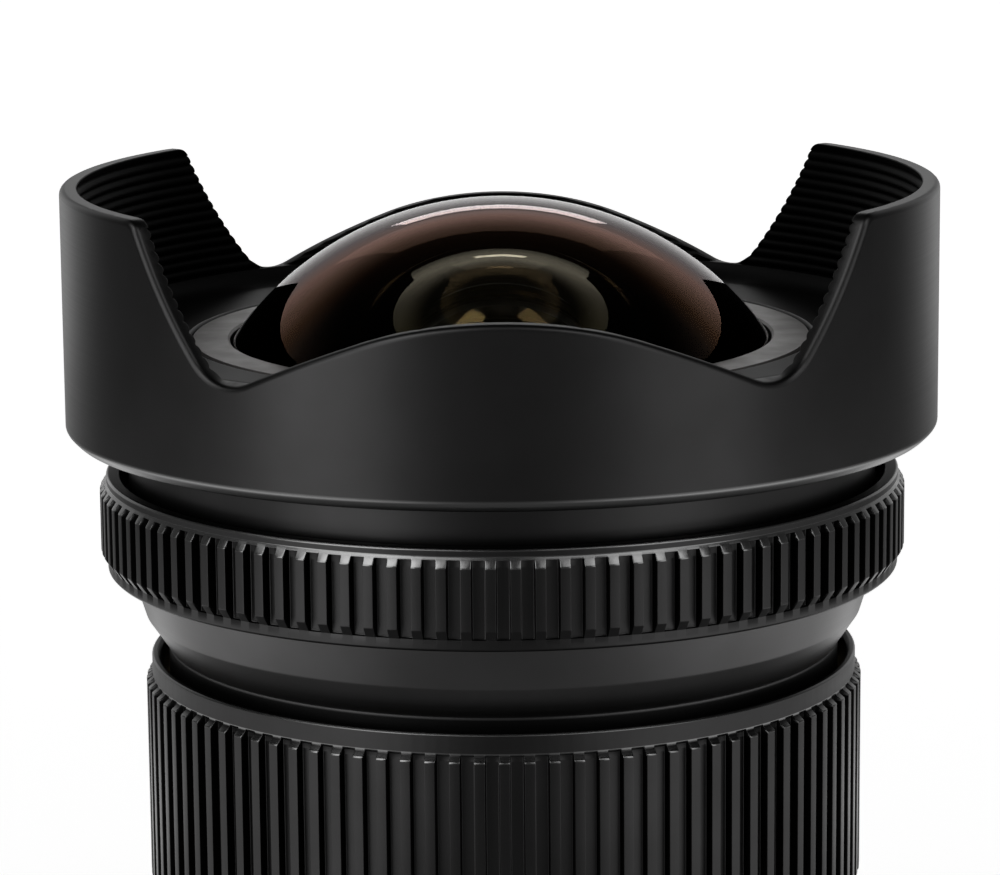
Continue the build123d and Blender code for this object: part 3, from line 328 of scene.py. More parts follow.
class Tree:
    """Short calls that add and join the nodes of one tree."""

    def __init__(self, tree):
        self.tree = tree

    def add(self, kind):
        return self.tree.nodes.new("ShaderNode" + kind)

    def join(self, source, target):
        self.tree.links.new(source, target)

    def feed(self, socket, value):
        """Set a socket's own value, or join another socket to it."""
        if isinstance(value, bpy.types.NodeSocket):
            self.join(value, socket)
        else:
            socket.default_value = value

    def ramp(self, source, low, high, start=0.3, end=0.7, smooth=False):
        """Spread the values between start and end from low to high."""
        node = self.add("MapRange")
        if smooth:
            node.interpolation_type = "SMOOTHSTEP"
        for name, value in zip(("From Min", "From Max", "To Min", "To Max"), (start, end, low, high)):
            self.feed(node.inputs[name], value)
        self.join(source, node.inputs["Value"])
        return node.outputs["Result"]

    def math(self, operation, *values):
        node = self.add("Math")
        node.operation = operation
        for socket, value in zip(node.inputs, values):
            self.feed(socket, value)
        return node.outputs[0]

    def times(self, first, second):
        return self.math("MULTIPLY", first, second)

    def distance(self, source, point=(0, 0, 0)):
        """How far a place is from a point."""
        node = self.add("VectorMath")
        node.operation = "DISTANCE"
        self.join(source, node.inputs[0])
        node.inputs[1].default_value = point
        return node.outputs["Value"]

    def split(self, source):
        """The X, Y and Z of a vector."""
        node = self.add("SeparateXYZ")
        self.join(source, node.inputs[0])
        return node.outputs

    def seen_by_camera(self):
        return self.add("LightPath").outputs["Is Camera Ray"]


class Shader(Tree):
    """A material's node tree with a main shader, and calls for its patterns and colours."""

    def __init__(self, name):
        self.material = bpy.data.materials.new(name)
        self.material.use_nodes = True
        super().__init__(self.material.node_tree)
        self.tree.nodes.clear()
        self.output = self.add("OutputMaterial")
        self.body = self.add("BsdfPrincipled")
        self.join(self.body.outputs[0], self.output.inputs["Surface"])
        self.place = self.add("TexCoord").outputs["Object"]

    def set(self, **values):
        """Set the main shader's sockets: base_color=..., roughness=... and so on."""
        names = {"specular": "Specular IOR Level"}
        for key, value in values.items():
            self.feed(self.body.inputs[names.get(key, key.replace("_", " ").title())], value)

    def noise(self, scale, detail=3.0, stretch=(1, 1, 1)):
        """Noise with features of about 1/scale metres, stretched along the axes."""
        mapping = self.add("Mapping")
        mapping.inputs["Scale"].default_value = stretch
        self.join(self.place, mapping.inputs["Vector"])
        texture = self.add("TexNoise")
        texture.inputs["Scale"].default_value = scale
        texture.inputs["Detail"].default_value = detail
        self.join(mapping.outputs[0], texture.inputs["Vector"])
        return texture.outputs["Fac"]

    def blend(self, source, first, second):
        """Mix two colours, or two colour sockets, by a value."""
        node = self.add("Mix")
        node.data_type = "RGBA"
        colours = [socket for socket in node.inputs if socket.type == "RGBA"]
        for socket, colour in zip(colours, (first, second)):
            self.feed(socket, (*colour, 1) if isinstance(colour, tuple) else colour)
        self.join(source, node.inputs["Factor"])
        return [socket for socket in node.outputs if socket.type == "RGBA"][0]

    def patches(self, scale, detail, first, second):
        """Two colours in soft patches."""
        return self.blend(self.ramp(self.noise(scale, detail), 0, 1), first, second)

    def painted_light(self):
        """The mesh's mark of painted light, from painted shade to painted highlight, which is 0 where a mesh has
        none.
        """
        node = self.add("Attribute")
        node.attribute_name = PAINTED_LIGHT
        return node.outputs["Fac"]

    def bump(self, source, distance, strength=1.0):
        """Raise the surface by a value, up to a distance in millimetres."""
        node = self.add("Bump")
        node.inputs["Distance"].default_value = distance * MM
        node.inputs["Strength"].default_value = strength
        self.join(source, node.inputs["Height"])
        self.join(node.outputs[0], self.body.inputs["Normal"])

    def coating(self, facing, stops):
        """A coating's colours from face on to edge on."""
        curve = self.add("ValToRGB")
        elements = curve.color_ramp.elements
        elements[0].position, elements[1].position = stops[0][0], stops[-1][0]
        for share, _ in stops[1:-1]:
            elements.new(share)
        for element, (_, colour) in zip(elements, stops):
            element.color = (*colour, 1)
        self.join(facing, curve.inputs["Fac"])
        return curve.outputs["Color"]


def black_anodised(name, sheen):
    """Black anodised metal: face on it mirrors the sheen's share, and more towards the edge."""
    shader = Shader(name)
    turning = shader.noise(260, 2, stretch=(0.05, 0.05, 60))
    painted_light = shader.painted_light()
    dark = (sheen * 0.93, sheen * 0.92, sheen * 0.92)
    light = (sheen * 1.07, sheen * 1.06, sheen * 1.07)
    plain = shader.patches(160, 4, dark, light)
    # Painted highlight: a brighter mirror share on walls marked above 0; painted shade: a darker one below 0
    highlighted = shader.blend(shader.ramp(painted_light, 0, 1, 0, PAINTED_HIGHLIGHT), plain, (PAINTED_HIGHLIGHT_SHEEN,) * 3)
    colour = shader.blend(shader.ramp(painted_light, 0, 1, 0, PAINTED_SHADE), highlighted, (PAINTED_SHADE_SHEEN,) * 3)
    highlight_gloss = shader.ramp(painted_light, 1, HIGHLIGHT_ROUGHNESS_SHARE, 0, PAINTED_HIGHLIGHT)
    shade_roughening = shader.ramp(painted_light, SHADE_ROUGHNESS_SHARE, 1, PAINTED_SHADE, 0)
    roughness = shader.times(shader.ramp(turning, *PLAIN_ROUGHNESS), shader.times(highlight_gloss, shade_roughening))
    edge = (EDGE_SHEEN, EDGE_SHEEN, EDGE_SHEEN, 1)
    shader.set(base_color=colour, metallic=1.0, specular_tint=edge, roughness=roughness)
    shader.bump(shader.noise(5200, 2), 0.004, 0.5)
    return shader.material


def dull_black():
    """A matt coat that takes up light, with a fine grain."""
    shader = Shader("dull_black_look")
    grain = shader.noise(3800)
    colour = shader.blend(shader.ramp(grain, 0, 1), (0.006, 0.0055, 0.005), (0.009, 0.008, 0.0075))
    shader.set(base_color=colour, roughness=shader.ramp(shader.noise(300), 0.46, 0.58))
    shader.set(specular=0.4, specular_tint=(1.0, 0.93, 0.91, 1))
    shader.bump(grain, 0.008, 0.6)
    return shader.material


def metal(name, colours, roughness, lines, depth):
    """Turned metal with fine ridges round the axis."""
    shader = Shader(name)
    turning = shader.noise(lines, 2, stretch=(0.03, 0.03, 30))
    colour = shader.patches(220, 4, *colours)
    shader.set(base_color=colour, roughness=shader.ramp(turning, *roughness), metallic=1.0)
    shader.bump(turning, depth)
    return shader.material


def mount_metal():
    colours = (0.62, 0.61, 0.59), (0.7, 0.69, 0.67)
    return metal("mount_metal_look", colours, roughness=(0.2, 0.34), lines=300, depth=0.004)


def brass():
    colours = (0.62, 0.46, 0.22), (0.7, 0.54, 0.28)
    return metal("brass_look", colours, roughness=(0.25, 0.4), lines=300, depth=0.005)


def screw_steel():
    colours = (0.2, 0.2, 0.2), (0.28, 0.28, 0.29)
    return metal("screw_steel_look", colours, roughness=(0.25, 0.4), lines=400, depth=0.003)


def blade_steel():
    colours = (0.04, 0.04, 0.045), (0.06, 0.06, 0.065)
    return metal("blade_steel_look", colours, roughness=(0.3, 0.42), lines=500, depth=0.002)


def rubber():
    shader = Shader("gasket_rubber_look")
    colour = shader.blend(shader.noise(900), (0.01, 0.01, 0.01), (0.02, 0.02, 0.02))
    shader.set(base_color=colour, roughness=shader.ramp(shader.noise(700), 0.6, 0.8))
    shader.bump(shader.noise(4000, 2), 0.01)
    return shader.material


def paint():
    """White paint for the numbers and marks."""
    shader = Shader("white_paint_look")
    colour = shader.blend(shader.noise(900), (0.55, 0.55, 0.53), (0.68, 0.68, 0.66))
    shader.set(base_color=colour, roughness=shader.ramp(shader.noise(1500, 2), 0.45, 0.6), specular=0.3)
    shader.bump(shader.noise(4000, 2), 0.002)
    return shader.material


def front_centre(node, glass):
    """The height of the centre of an element's front sphere."""
    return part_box(node)[1].z / MM - glass[0]


def coated_glass(name, index, front, back, centre=0.0, radius=0.0):
    """Lens glass with one coating on its front face, part of a sphere on the axis, and one elsewhere."""
    shader = Shader(name)
    layer = shader.add("LayerWeight")
    layer.inputs["Blend"].default_value = 0.5
    facing = layer.outputs["Facing"]
    reach = shader.distance(shader.place, (0, 0, centre * MM))
    on_face = shader.ramp(reach, 0, 1, (radius - FACE_MARGIN) * MM, (radius - FACE_MARGIN / 2) * MM)
    mirror = shader.add("BsdfGlossy")
    mirror.inputs["Roughness"].default_value = 0.0
    coats = shader.blend(on_face, shader.coating(facing, back), shader.coating(facing, front))
    shader.join(coats, mirror.inputs["Color"])
    through = shader.add("BsdfRefraction")
    critical = 1 - sqrt(1 - 1 / index**2)
    steep = shader.ramp(facing, 0, 1, critical - STEEP_MARGIN, critical - STEEP_MARGIN / 2)
    kept_inside = shader.times(steep, shader.add("NewGeometry").outputs["Backfacing"])
    shader.join(shader.blend(kept_inside, GLASS_TINT, (0, 0, 0)), through.inputs["Color"])
    through.inputs["IOR"].default_value = index
    through.inputs["Roughness"].default_value = 0.0
    both = shader.add("AddShader")
    shader.join(mirror.outputs[0], both.inputs[0])
    shader.join(through.outputs[0], both.inputs[1])
    shader.join(both.outputs[0], shader.output.inputs["Surface"])
    shader.tree.nodes.remove(shader.body)
    return shader.material


FINISHES = {
    "black_anodised": black_anodised("black_anodised_look", BODY_SHEEN),
    "dull_black": dull_black(),
    "mount_metal": mount_metal(),
    "brass": brass(),
    "screw_steel": screw_steel(),
    "blade_steel": blade_steel(),
    "gasket_rubber": rubber(),
    "coated_glass": coated_glass("inner_glass_look", SECOND_INDEX, GREEN_COATING, GREEN_COATING),
}
FIRST_LOOK = coated_glass(
    "front_glass_look", FIRST_INDEX, OUTER_COATING, HIDDEN_COATING,
    front_centre("element_1", FIRST_GLASS), FIRST_GLASS[0],
)
SECOND_LOOK = coated_glass(
    "second_glass_look", SECOND_INDEX, GOLDEN_COATING, BACK_COATING,
    front_centre("element_2", SECOND_GLASS), SECOND_GLASS[0],
)
# The sleeve's copy of the metal, brighter as a painted sheen
LIT_SLEEVE_LOOK = black_anodised("lit_sleeve_look", SLEEVE_PAINTED_SHEEN)
PAINT_LOOK = paint()


def dress_nodes():
    """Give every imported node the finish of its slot."""
    for part in frame["record"]["subparts"]:
        mesh = nodes[part["node"]].data
        mesh.materials.clear()
        mesh.materials.append(FINISHES[part["material_slot"]])
    nodes["scale_sleeve"].data.materials[0] = LIT_SLEEVE_LOOK


def weld(mesh):
    """Join points that lie together and drop the faces that this closes."""
    work = bmesh.new()
    work.from_mesh(mesh)
    bmesh.ops.remove_doubles(work, verts=work.verts, dist=WELD * MM)
    bmesh.ops.dissolve_degenerate(work, edges=work.edges, dist=WELD * MM)
    work.to_mesh(mesh)
    work.free()


def add_piece(name, points, faces, body, slot, *replaced, painted_light=None, look=None):
    """A new piece from points in millimetres, riding on a body in place of CAD nodes."""
    mesh = bpy.data.meshes.new(name)
    mesh.from_pydata([[value * MM for value in point] for point in points], [], faces)
    if painted_light:
        mesh.attributes.new(PAINTED_LIGHT, "FLOAT", "POINT").data.foreach_set("value", painted_light)
    weld(mesh)
    mesh.polygons.foreach_set("use_smooth", [True] * len(mesh.polygons))
    mesh.set_sharp_from_angle(angle=radians(SHARP_ANGLE))
    mesh.materials.append(look or FINISHES[slot])
    piece = bpy.data.objects.new(name, mesh)
    bpy.context.scene.collection.objects.link(piece)
    weigh = piece.modifiers.new("weigh_normals", "WEIGHTED_NORMAL")
    weigh.keep_sharp = True
    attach(piece, body)
    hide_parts(*replaced)


def bend(start, corner, end, share):
    """A point on the curve from start to end that a corner pulls towards itself."""
    return start * (1 - share) ** 2 + corner * 2 * share * (1 - share) + end * share**2


def rounded(corners, facets=CORNER_FACETS):
    """Points (radius, height, painted light) of a closed outline of (radius, height, rounding, painted light)
    corners.
    """
    points = []
    for index, (radius, height, rounding, *painted_light) in enumerate(corners):
        here = Vector((radius, height))
        back = Vector(corners[index - 1][:2]) - here
        ahead = Vector(corners[(index + 1) % len(corners)][:2]) - here
        start = here + back * min(rounding / max(back.length, TINY), SIDE_SHARE)
        end = here + ahead * min(rounding / max(ahead.length, TINY), SIDE_SHARE)
        for step in range(facets + 1):
            spot = bend(start, here, end, step / facets)
            points.append(Vector((spot.x, spot.y, painted_light[0] if painted_light else 0)))
    return points


def spun_faces(columns, rows):
    """Quads that join the columns of a closed ring, each column a closed outline."""
    faces = []
    for column in range(columns):
        here, beside = column * rows, (column + 1) % columns * rows
        for row in range(rows):
            above = (row + 1) % rows
            faces.append((here + row, beside + row, beside + above, here + above))
    return faces


def glass_body(name, node, sizes, look):
    """A meniscus lens turned finely enough for clean reflections, in place of its node."""
    radius, rim, back_radius, back_rim, edge = sizes
    centre = front_centre(node, sizes)
    edge_low = centre + sqrt(radius**2 - rim**2) - edge
    back_centre = edge_low - sqrt(back_radius**2 - back_rim**2)
    outline = []
    for ring in range(1, LENS_RINGS + 1):
        angle = asin(rim / radius) * ring / LENS_RINGS
        outline.append((radius * sin(angle), centre + radius * cos(angle)))
    outline += [(rim, edge_low), (back_rim, edge_low)]
    for ring in range(LENS_RINGS - 1, 0, -1):
        angle = asin(back_rim / back_radius) * ring / LENS_RINGS
        outline.append((back_radius * sin(angle), back_centre + back_radius * cos(angle)))
    points = [(0, 0, centre + radius), (0, 0, back_centre + back_radius)]
    for column in range(LENS_COLUMNS):
        turn = 2 * pi * column / LENS_COLUMNS
        points += [(r * cos(turn), r * sin(turn), z) for r, z in outline]
    faces = []
    rows = len(outline)
    for column in range(LENS_COLUMNS):
        here, beside = 2 + column * rows, 2 + (column + 1) % LENS_COLUMNS * rows
        faces.append((0, here, beside))
        faces.append((1, beside + rows - 1, here + rows - 1))
        for row in range(rows - 1):
            faces.append((here + row, here + row + 1, beside + row + 1, beside + row))
    add_piece(name, points, faces, "lens_unit", "coated_glass", node, look=look)


def ribbed_ring(name, node, groove, rib, count, depth):
    """A ring whose outline alternates between a groove's and a rib's, with rounded rib edges."""
    low, high = rounded(groove, RIB_FACETS), rounded(rib, RIB_FACETS)
    rib_radius = max(point.x for point in high)
    half = RIB_SHARE * pi / count * rib_radius
    foot = half + RIB_SLANT
    marks = [
        (0.0, 1.0),
        (half - RIB_EDGE, 1.0),
        (half - ROUND_SHARE * RIB_EDGE, 1 - ROUND_SHARE * RIB_EDGE / depth),
        (half, 1 - RIB_EDGE / depth),
        (foot, RIB_ROOT / depth),
        (foot + ROUND_SHARE * RIB_ROOT, ROUND_SHARE * RIB_ROOT / depth),
        (foot + RIB_ROOT, 0.0),
    ]
    mirrored = [(-offset, height) for offset, height in reversed(marks[1:])]
    columns = []
    for index in range(count):
        middle = index * 2 * pi / count
        columns += [(middle + offset / rib_radius, height) for offset, height in mirrored + marks]
    points, painted_light = [], []
    for turn, height in columns:
        for near, far in zip(low, high):
            p = near.lerp(far, height)
            points.append((p.x * cos(turn), p.x * sin(turn), p.y))
            painted_light.append(p.z)
    faces = spun_faces(len(columns), len(low))
    add_piece(name, points, faces, node, "black_anodised", node, painted_light=painted_light)


def make_focus_ring():
    lower = [
        (FOCUS_BORE, FOCUS_LOW, SOFT_ROUND),
        (FOCUS_RIM - FOCUS_BEVEL, FOCUS_LOW, RING_ROUND),
        (FOCUS_RIM, FOCUS_LOW + FOCUS_BEVEL, RING_ROUND),
        (FOCUS_RIM, FOCUS_GRIP_LOW, EDGE_ROUND),
    ]
    # Painted highlights on the step above the ribs and on the top lip
    upper = [
        (FOCUS_RIM, FOCUS_GRIP_HIGH + FOCUS_SHOULDER, FINE_ROUND, FOCUS_STEP_HIGHLIGHT),
        (FOCUS_RIM, FOCUS_GRIP_HIGH + FOCUS_SHOULDER + FADE, MARK_ROUND),
        (FOCUS_RIM, FOCUS_TOP - FOCUS_LIP - LIP_FADE, MARK_ROUND),
        (FOCUS_RIM, FOCUS_TOP - FOCUS_LIP, EDGE_ROUND, FOCUS_LIP_HIGHLIGHT),
        (FOCUS_RIM - FOCUS_LIP, FOCUS_TOP, EDGE_ROUND, FOCUS_LIP_HIGHLIGHT),
        (FOCUS_RIM - FOCUS_LIP - LIP_FADE, FOCUS_TOP, MARK_ROUND),
        (FOCUS_THROAT + FOCUS_BEVEL, FOCUS_TOP, RING_ROUND),
        (FOCUS_THROAT, FOCUS_TOP - FOCUS_BEVEL, RING_ROUND),
        (FOCUS_THROAT, FOCUS_STEP, FINE_ROUND),
        (FOCUS_BORE, FOCUS_STEP, FINE_ROUND),
    ]
    groove = [
        (FOCUS_FLOOR, FOCUS_GRIP_LOW, RING_ROUND),
        (FOCUS_FLOOR, FOCUS_GRIP_HIGH - GROOVE_FADE, MARK_ROUND),
        (FOCUS_FLOOR, FOCUS_GRIP_HIGH, RING_ROUND),
        (FOCUS_RIM - FOCUS_FADE, FOCUS_GRIP_HIGH, FINE_ROUND),
    ]
    # Painted highlight at the ribs' upper ends
    rib = [
        (FOCUS_RIB, FOCUS_GRIP_LOW + FOCUS_SLOPE, RING_ROUND),
        (FOCUS_RIB, FOCUS_GRIP_HIGH - FOCUS_SLOPE - FOCUS_FADE, MARK_ROUND),
        (FOCUS_RIB, FOCUS_GRIP_HIGH - FOCUS_SLOPE, SOFT_ROUND, PAINTED_HIGHLIGHT),
        (FOCUS_RIM, FOCUS_GRIP_HIGH, FINE_ROUND),
    ]
    outlines = lower + groove + upper, lower + rib + upper
    depth = FOCUS_RIB - FOCUS_FLOOR
    ribbed_ring("focus_grip", "focus_ring", *outlines, FOCUS_RIBS, depth)


def make_aperture_ring():
    lower = [
        (APERTURE_BORE, APERTURE_LOW, SOFT_ROUND),
        (APERTURE_RIM - APERTURE_EDGE, APERTURE_LOW, EDGE_ROUND),
        (APERTURE_RIM, APERTURE_LOW + APERTURE_EDGE, EDGE_ROUND),
        (APERTURE_RIM, APERTURE_GRIP_LOW, FINE_ROUND),
    ]
    # Painted highlights on the upper edges and the top lip
    upper = [
        (APERTURE_RIM, APERTURE_GRIP_HIGH, FINE_ROUND, PAINTED_HIGHLIGHT),
        (APERTURE_RIM, APERTURE_GRIP_HIGH + RING_ROUND, MARK_ROUND),
        (APERTURE_RIM, APERTURE_TOP - APERTURE_EDGE - FINE_ROUND, MARK_ROUND),
        (APERTURE_RIM, APERTURE_TOP - APERTURE_EDGE, EDGE_ROUND, PAINTED_HIGHLIGHT),
        (APERTURE_RIM - APERTURE_LIP, APERTURE_TOP, EDGE_ROUND, PAINTED_HIGHLIGHT),
        (APERTURE_RIM - APERTURE_EDGE - FINE_ROUND, APERTURE_TOP, MARK_ROUND),
        (APERTURE_THROAT + APERTURE_EDGE, APERTURE_TOP, EDGE_ROUND),
        (APERTURE_THROAT, APERTURE_TOP - APERTURE_EDGE, EDGE_ROUND),
        (APERTURE_THROAT, APERTURE_STEP, FINE_ROUND),
        (APERTURE_BORE, APERTURE_STEP, FINE_ROUND),
    ]
    # Painted highlight on the ribs' slanted ends
    end_radius = APERTURE_RIM + GROOVE_END * (APERTURE_RIB - APERTURE_RIM) / APERTURE_SLOPE
    end = (end_radius, APERTURE_GRIP_HIGH - GROOVE_END, END_ROUND, PAINTED_HIGHLIGHT)
    groove = [
        (APERTURE_FLOOR, APERTURE_GRIP_LOW, SOFT_ROUND),
        (APERTURE_FLOOR, APERTURE_GRIP_HIGH - APERTURE_SLOPE - FADE, MARK_ROUND),
        (APERTURE_FLOOR, APERTURE_GRIP_HIGH - GROOVE_END, SOFT_ROUND),
        end,
    ]
    rib = [
        (APERTURE_RIB, APERTURE_GRIP_LOW + APERTURE_SLOPE, RING_ROUND),
        (APERTURE_RIB, APERTURE_GRIP_HIGH - APERTURE_SLOPE - FADE, MARK_ROUND),
        (APERTURE_RIB, APERTURE_GRIP_HIGH - APERTURE_SLOPE, RING_ROUND, PAINTED_HIGHLIGHT),
        end,
    ]
    outlines = lower + groove + upper, lower + rib + upper
    depth = APERTURE_RIB - APERTURE_FLOOR
    ribbed_ring("aperture_grip", "aperture_ring", *outlines, APERTURE_RIBS, depth)


def make_scale_sleeve():
    outline = rounded([
        (SLEEVE_BORE, SLEEVE_LOW, SOFT_ROUND),
        # Painted shadow on the neck, in the recess above the focus ring
        (NECK_RADIUS, SLEEVE_LOW, SOFT_ROUND, PAINTED_SHADE),
        (NECK_RADIUS, NECK_TOP - NECK_FADE, MARK_ROUND, PAINTED_SHADE),
        (NECK_RADIUS, NECK_TOP, SOFT_ROUND, NECK_SHADE),
        (NECK_RADIUS + NECK_STEP, NECK_TOP + NECK_FADE, MARK_ROUND),
        (CREASE_RADIUS, CREASE_HEIGHT, CREASE_ROUND),
        (SLEEVE_RADIUS, SLEEVE_TOP - SLEEVE_EDGE[1], FINE_ROUND),
        (SLEEVE_RADIUS - SLEEVE_EDGE[0], SLEEVE_TOP, FINE_ROUND),
        (SLEEVE_BORE, SLEEVE_TOP, SOFT_ROUND),
    ])
    points = []
    for segment in range(LATHE_SEGMENTS):
        turn = 2 * pi * segment / LATHE_SEGMENTS
        points += [(p.x * cos(turn), p.x * sin(turn), p.y) for p in outline]
    add_piece(
        "sleeve_cone", points, spun_faces(LATHE_SEGMENTS, len(outline)), "lens_unit", "black_anodised",
        "scale_sleeve", painted_light=[p.z for p in outline] * LATHE_SEGMENTS, look=LIT_SLEEVE_LOOK,
    )


def rim_height(across):
    """The rim's height at a distance along the plane that touches the wall at a low petal's middle."""
    crown_corner = -CROWN_DROP + CROWN_RADIUS * (1 / cos(CROWN_SLOPE) - 1)
    valley = (crown_corner + FLANK_TOP * tan(FLANK_SLOPE)) / (tan(CROWN_SLOPE) + tan(FLANK_SLOPE))
    reach = VALLEY_RADIUS * tan((CROWN_SLOPE + FLANK_SLOPE) / 2)
    valley_start = valley - reach * cos(CROWN_SLOPE)
    middle = valley_start + VALLEY_RADIUS * sin(CROWN_SLOPE)
    middle_height = crown_corner - valley_start * tan(CROWN_SLOPE) + VALLEY_RADIUS * cos(CROWN_SLOPE)
    if across < CROWN_RADIUS * sin(CROWN_SLOPE):
        drop = -CROWN_DROP - CROWN_RADIUS + sqrt(CROWN_RADIUS**2 - across**2)
    elif across < valley_start:
        drop = crown_corner - across * tan(CROWN_SLOPE)
    elif across < valley + reach * cos(FLANK_SLOPE):
        drop = middle_height - sqrt(VALLEY_RADIUS**2 - (across - middle) ** 2)
    else:
        drop = min((across - FLANK_TOP) * tan(FLANK_SLOPE), 0)
    return HOOD_TOP + drop


def spaced(line):
    """Points along a line at even steps, which are shorter where it is steep."""
    travel = [0.0]
    for back, here in zip(line, line[1:]):
        travel.append(travel[-1] + (here - back).length + STEEP_WEIGHT * abs(here.y - back.y))
    count = round(travel[-1] / RIM_STEP)
    points, index = [], 0
    for n in range(count + 1):
        goal = travel[-1] * n / count
        while index < len(line) - 2 and travel[index + 1] < goal:
            index += 1
        share = (goal - travel[index]) / (travel[index + 1] - travel[index])
        points.append(line[index].lerp(line[index + 1], min(share, 1)))
    return points


def hood_rim():
    """The rim's closed outline as (distance round, height), from the front petal's middle."""
    quarter = HOOD_RADIUS * pi / 2
    line = []
    for n in range(RIM_SAMPLES):
        share = n / RIM_SAMPLES
        line.append(Vector((quarter * share, rim_height(HOOD_RADIUS * tan(pi / 2 * share)))))
    line.append(Vector((quarter, HOOD_TOP)))
    corner = Vector((HOOD_RADIUS * atan(FLANK_TOP / HOOD_RADIUS), HOOD_TOP))
    flank = [p for p in line if p.x < corner.x and (p - corner).length > CORNER_REACH]
    top = [p for p in line if p.x > corner.x + CORNER_REACH]
    turn = [bend(flank[-1], corner, top[0], step / CORNER_STEPS) for step in range(1, CORNER_STEPS)]
    points = spaced(flank + turn + top)
    half = points + [Vector((2 * quarter - p.x, p.y)) for p in reversed(points[1:-1])]
    return half + [Vector((p.x + 2 * quarter, p.y)) for p in half]


def ridge_radius(height):
    """The hood's inner radius with its rounded ridges."""
    down = (RIDGES_TOP - height) / RIDGE_PITCH
    if not 0 <= down <= RIDGE_COUNT:
        return HOOD_INNER
    place = 2 * (down % 1) - 1
    return HOOD_INNER + RIDGE_DEPTH * (1 - sqrt(max(1 - place**2, 0)))


def hood_floor():
    """The hood's outline below its ridges: the dish, the name ring's seat, the pocket and the bevel."""
    dish = HOOD_INNER - HOOD_FLOOR_EDGE
    ledge = asin((HOOD_FLOOR + dish - RIDGES_LOW) / dish)
    # Painted shade in the ridged wall and dish, weakening towards the floor
    corners = [(HOOD_INNER, RIDGES_LOW, 0, PAINTED_SHADE)]
    for step in range(DISH_STEPS + 1):
        share = step / DISH_STEPS
        angle = ledge + (pi / 2 - ledge) * share
        radius = HOOD_FLOOR_EDGE + dish * cos(angle)
        height = HOOD_FLOOR + dish - dish * sin(angle)
        corners.append((radius, height, 0, PAINTED_SHADE + (FLOOR_SHADE - PAINTED_SHADE) * share))
    corners += [
        # Weaker painted shade on the floor, a thin painted highlight at the seat's edge, painted shadow in its
        # groove
        (SEAT_RADIUS + SEAT_BEVEL + FADE, HOOD_FLOOR, MARK_ROUND, FLOOR_SHADE),
        (SEAT_RADIUS + SEAT_BEVEL, HOOD_FLOOR, SOFT_ROUND, SEAT_HIGHLIGHT),
        (SEAT_RADIUS, HOOD_FLOOR - SEAT_BEVEL, SOFT_ROUND, PAINTED_SHADE),
        (SEAT_RADIUS, HOOD_UNDERSIDE, FINE_ROUND),
        (HOOD_BORE, HOOD_UNDERSIDE, FINE_ROUND),
        (HOOD_BORE, HOOD_LOW, SOFT_ROUND),
        (POCKET_BORE, HOOD_LOW, SOFT_ROUND),
        (POCKET_BORE, POCKET_TOP, WIDE_ROUND),
        (POCKET_WALL, POCKET_TOP, WIDE_ROUND),
        (POCKET_WALL, HOOD_LOW, SOFT_ROUND),
        # Painted highlight on the lower bevel
        (HOOD_RADIUS - HOOD_BEVEL, HOOD_LOW, BEVEL_ROUND, HOOD_BEVEL_HIGHLIGHT),
        (HOOD_RADIUS, HOOD_LOW + HOOD_BEVEL, WIDE_ROUND, HOOD_BEVEL_HIGHLIGHT),
        (HOOD_RADIUS, HOOD_LOW + HOOD_BEVEL + HOOD_FADE, MARK_ROUND),
        (HOOD_RADIUS, HOOD_LOW + HOOD_BEVEL + HOOD_WALL_START, 0),
    ]
    return rounded(corners)


def hood_column(here, up, floor, ridge_heights):
    """The hood's outline at a point of its rim, as (distance round, height, radius, painted light)."""
    outer = here - up * OUTER_ROUND
    inner = here - up * INNER_ROUND
    inner.y = max(inner.y, RIDGES_LOW)
    column = []
    for p in floor:
        beside = inner.x if p.x < POCKET_WALL - SOFT_ROUND else outer.x
        column.append((beside, p.y, p.x, p.z))
    for step in range(OUTER_STEPS + 1):
        angle = pi / 2 * step / OUTER_STEPS
        spot = here - up * OUTER_ROUND * (1 - sin(angle))
        column.append((spot.x, spot.y, HOOD_RADIUS - OUTER_ROUND * (1 - cos(angle)), 0))
    for step in range(INNER_STEPS + 1):
        share = step / INNER_STEPS
        angle = pi / 2 * share
        spot = here - up * INNER_ROUND * (1 - cos(angle))
        height = max(spot.y, RIDGES_LOW)
        radius = ridge_radius(height) + INNER_ROUND * (1 - sin(angle))
        column.append((spot.x, height, radius, PAINTED_SHADE * share))
    for height in ridge_heights:
        level = min(height, inner.y)
        column.append((inner.x, level, ridge_radius(level), PAINTED_SHADE))
    return column


def make_hood():
    """The petal hood with a soft rim and rounded ridges that the petals' sides cut through."""
    rim = hood_rim()
    floor = hood_floor()
    ridge_heights = []
    for ridge in range(RIDGE_COUNT):
        top = RIDGES_TOP - ridge * RIDGE_PITCH
        ridge_heights += [top - (row + 1) / 2 * RIDGE_PITCH for row in RIDGE_ROWS]
    points, painted_light = [], []
    for index, here in enumerate(rim):
        ahead, back = rim[(index + 1) % len(rim)], rim[index - 1]
        along = Vector(((ahead.x - back.x) % (2 * pi * HOOD_RADIUS), ahead.y - back.y)).normalized()
        up = Vector((-along.y, along.x))
        # Each point's painted light goes with it: painted shade inside, painted highlights at the seat and lower
        # bevel
        for travel, height, radius, finish in hood_column(here, up, floor, ridge_heights):
            turn = travel / HOOD_RADIUS - pi / 2
            points.append((radius * cos(turn), radius * sin(turn), height))
            painted_light.append(finish)
    faces = [face[::-1] for face in spun_faces(len(rim), len(points) // len(rim))]
    add_piece("hood_shell", points, faces, "lens_unit", "black_anodised", "petal_hood", painted_light=painted_light)


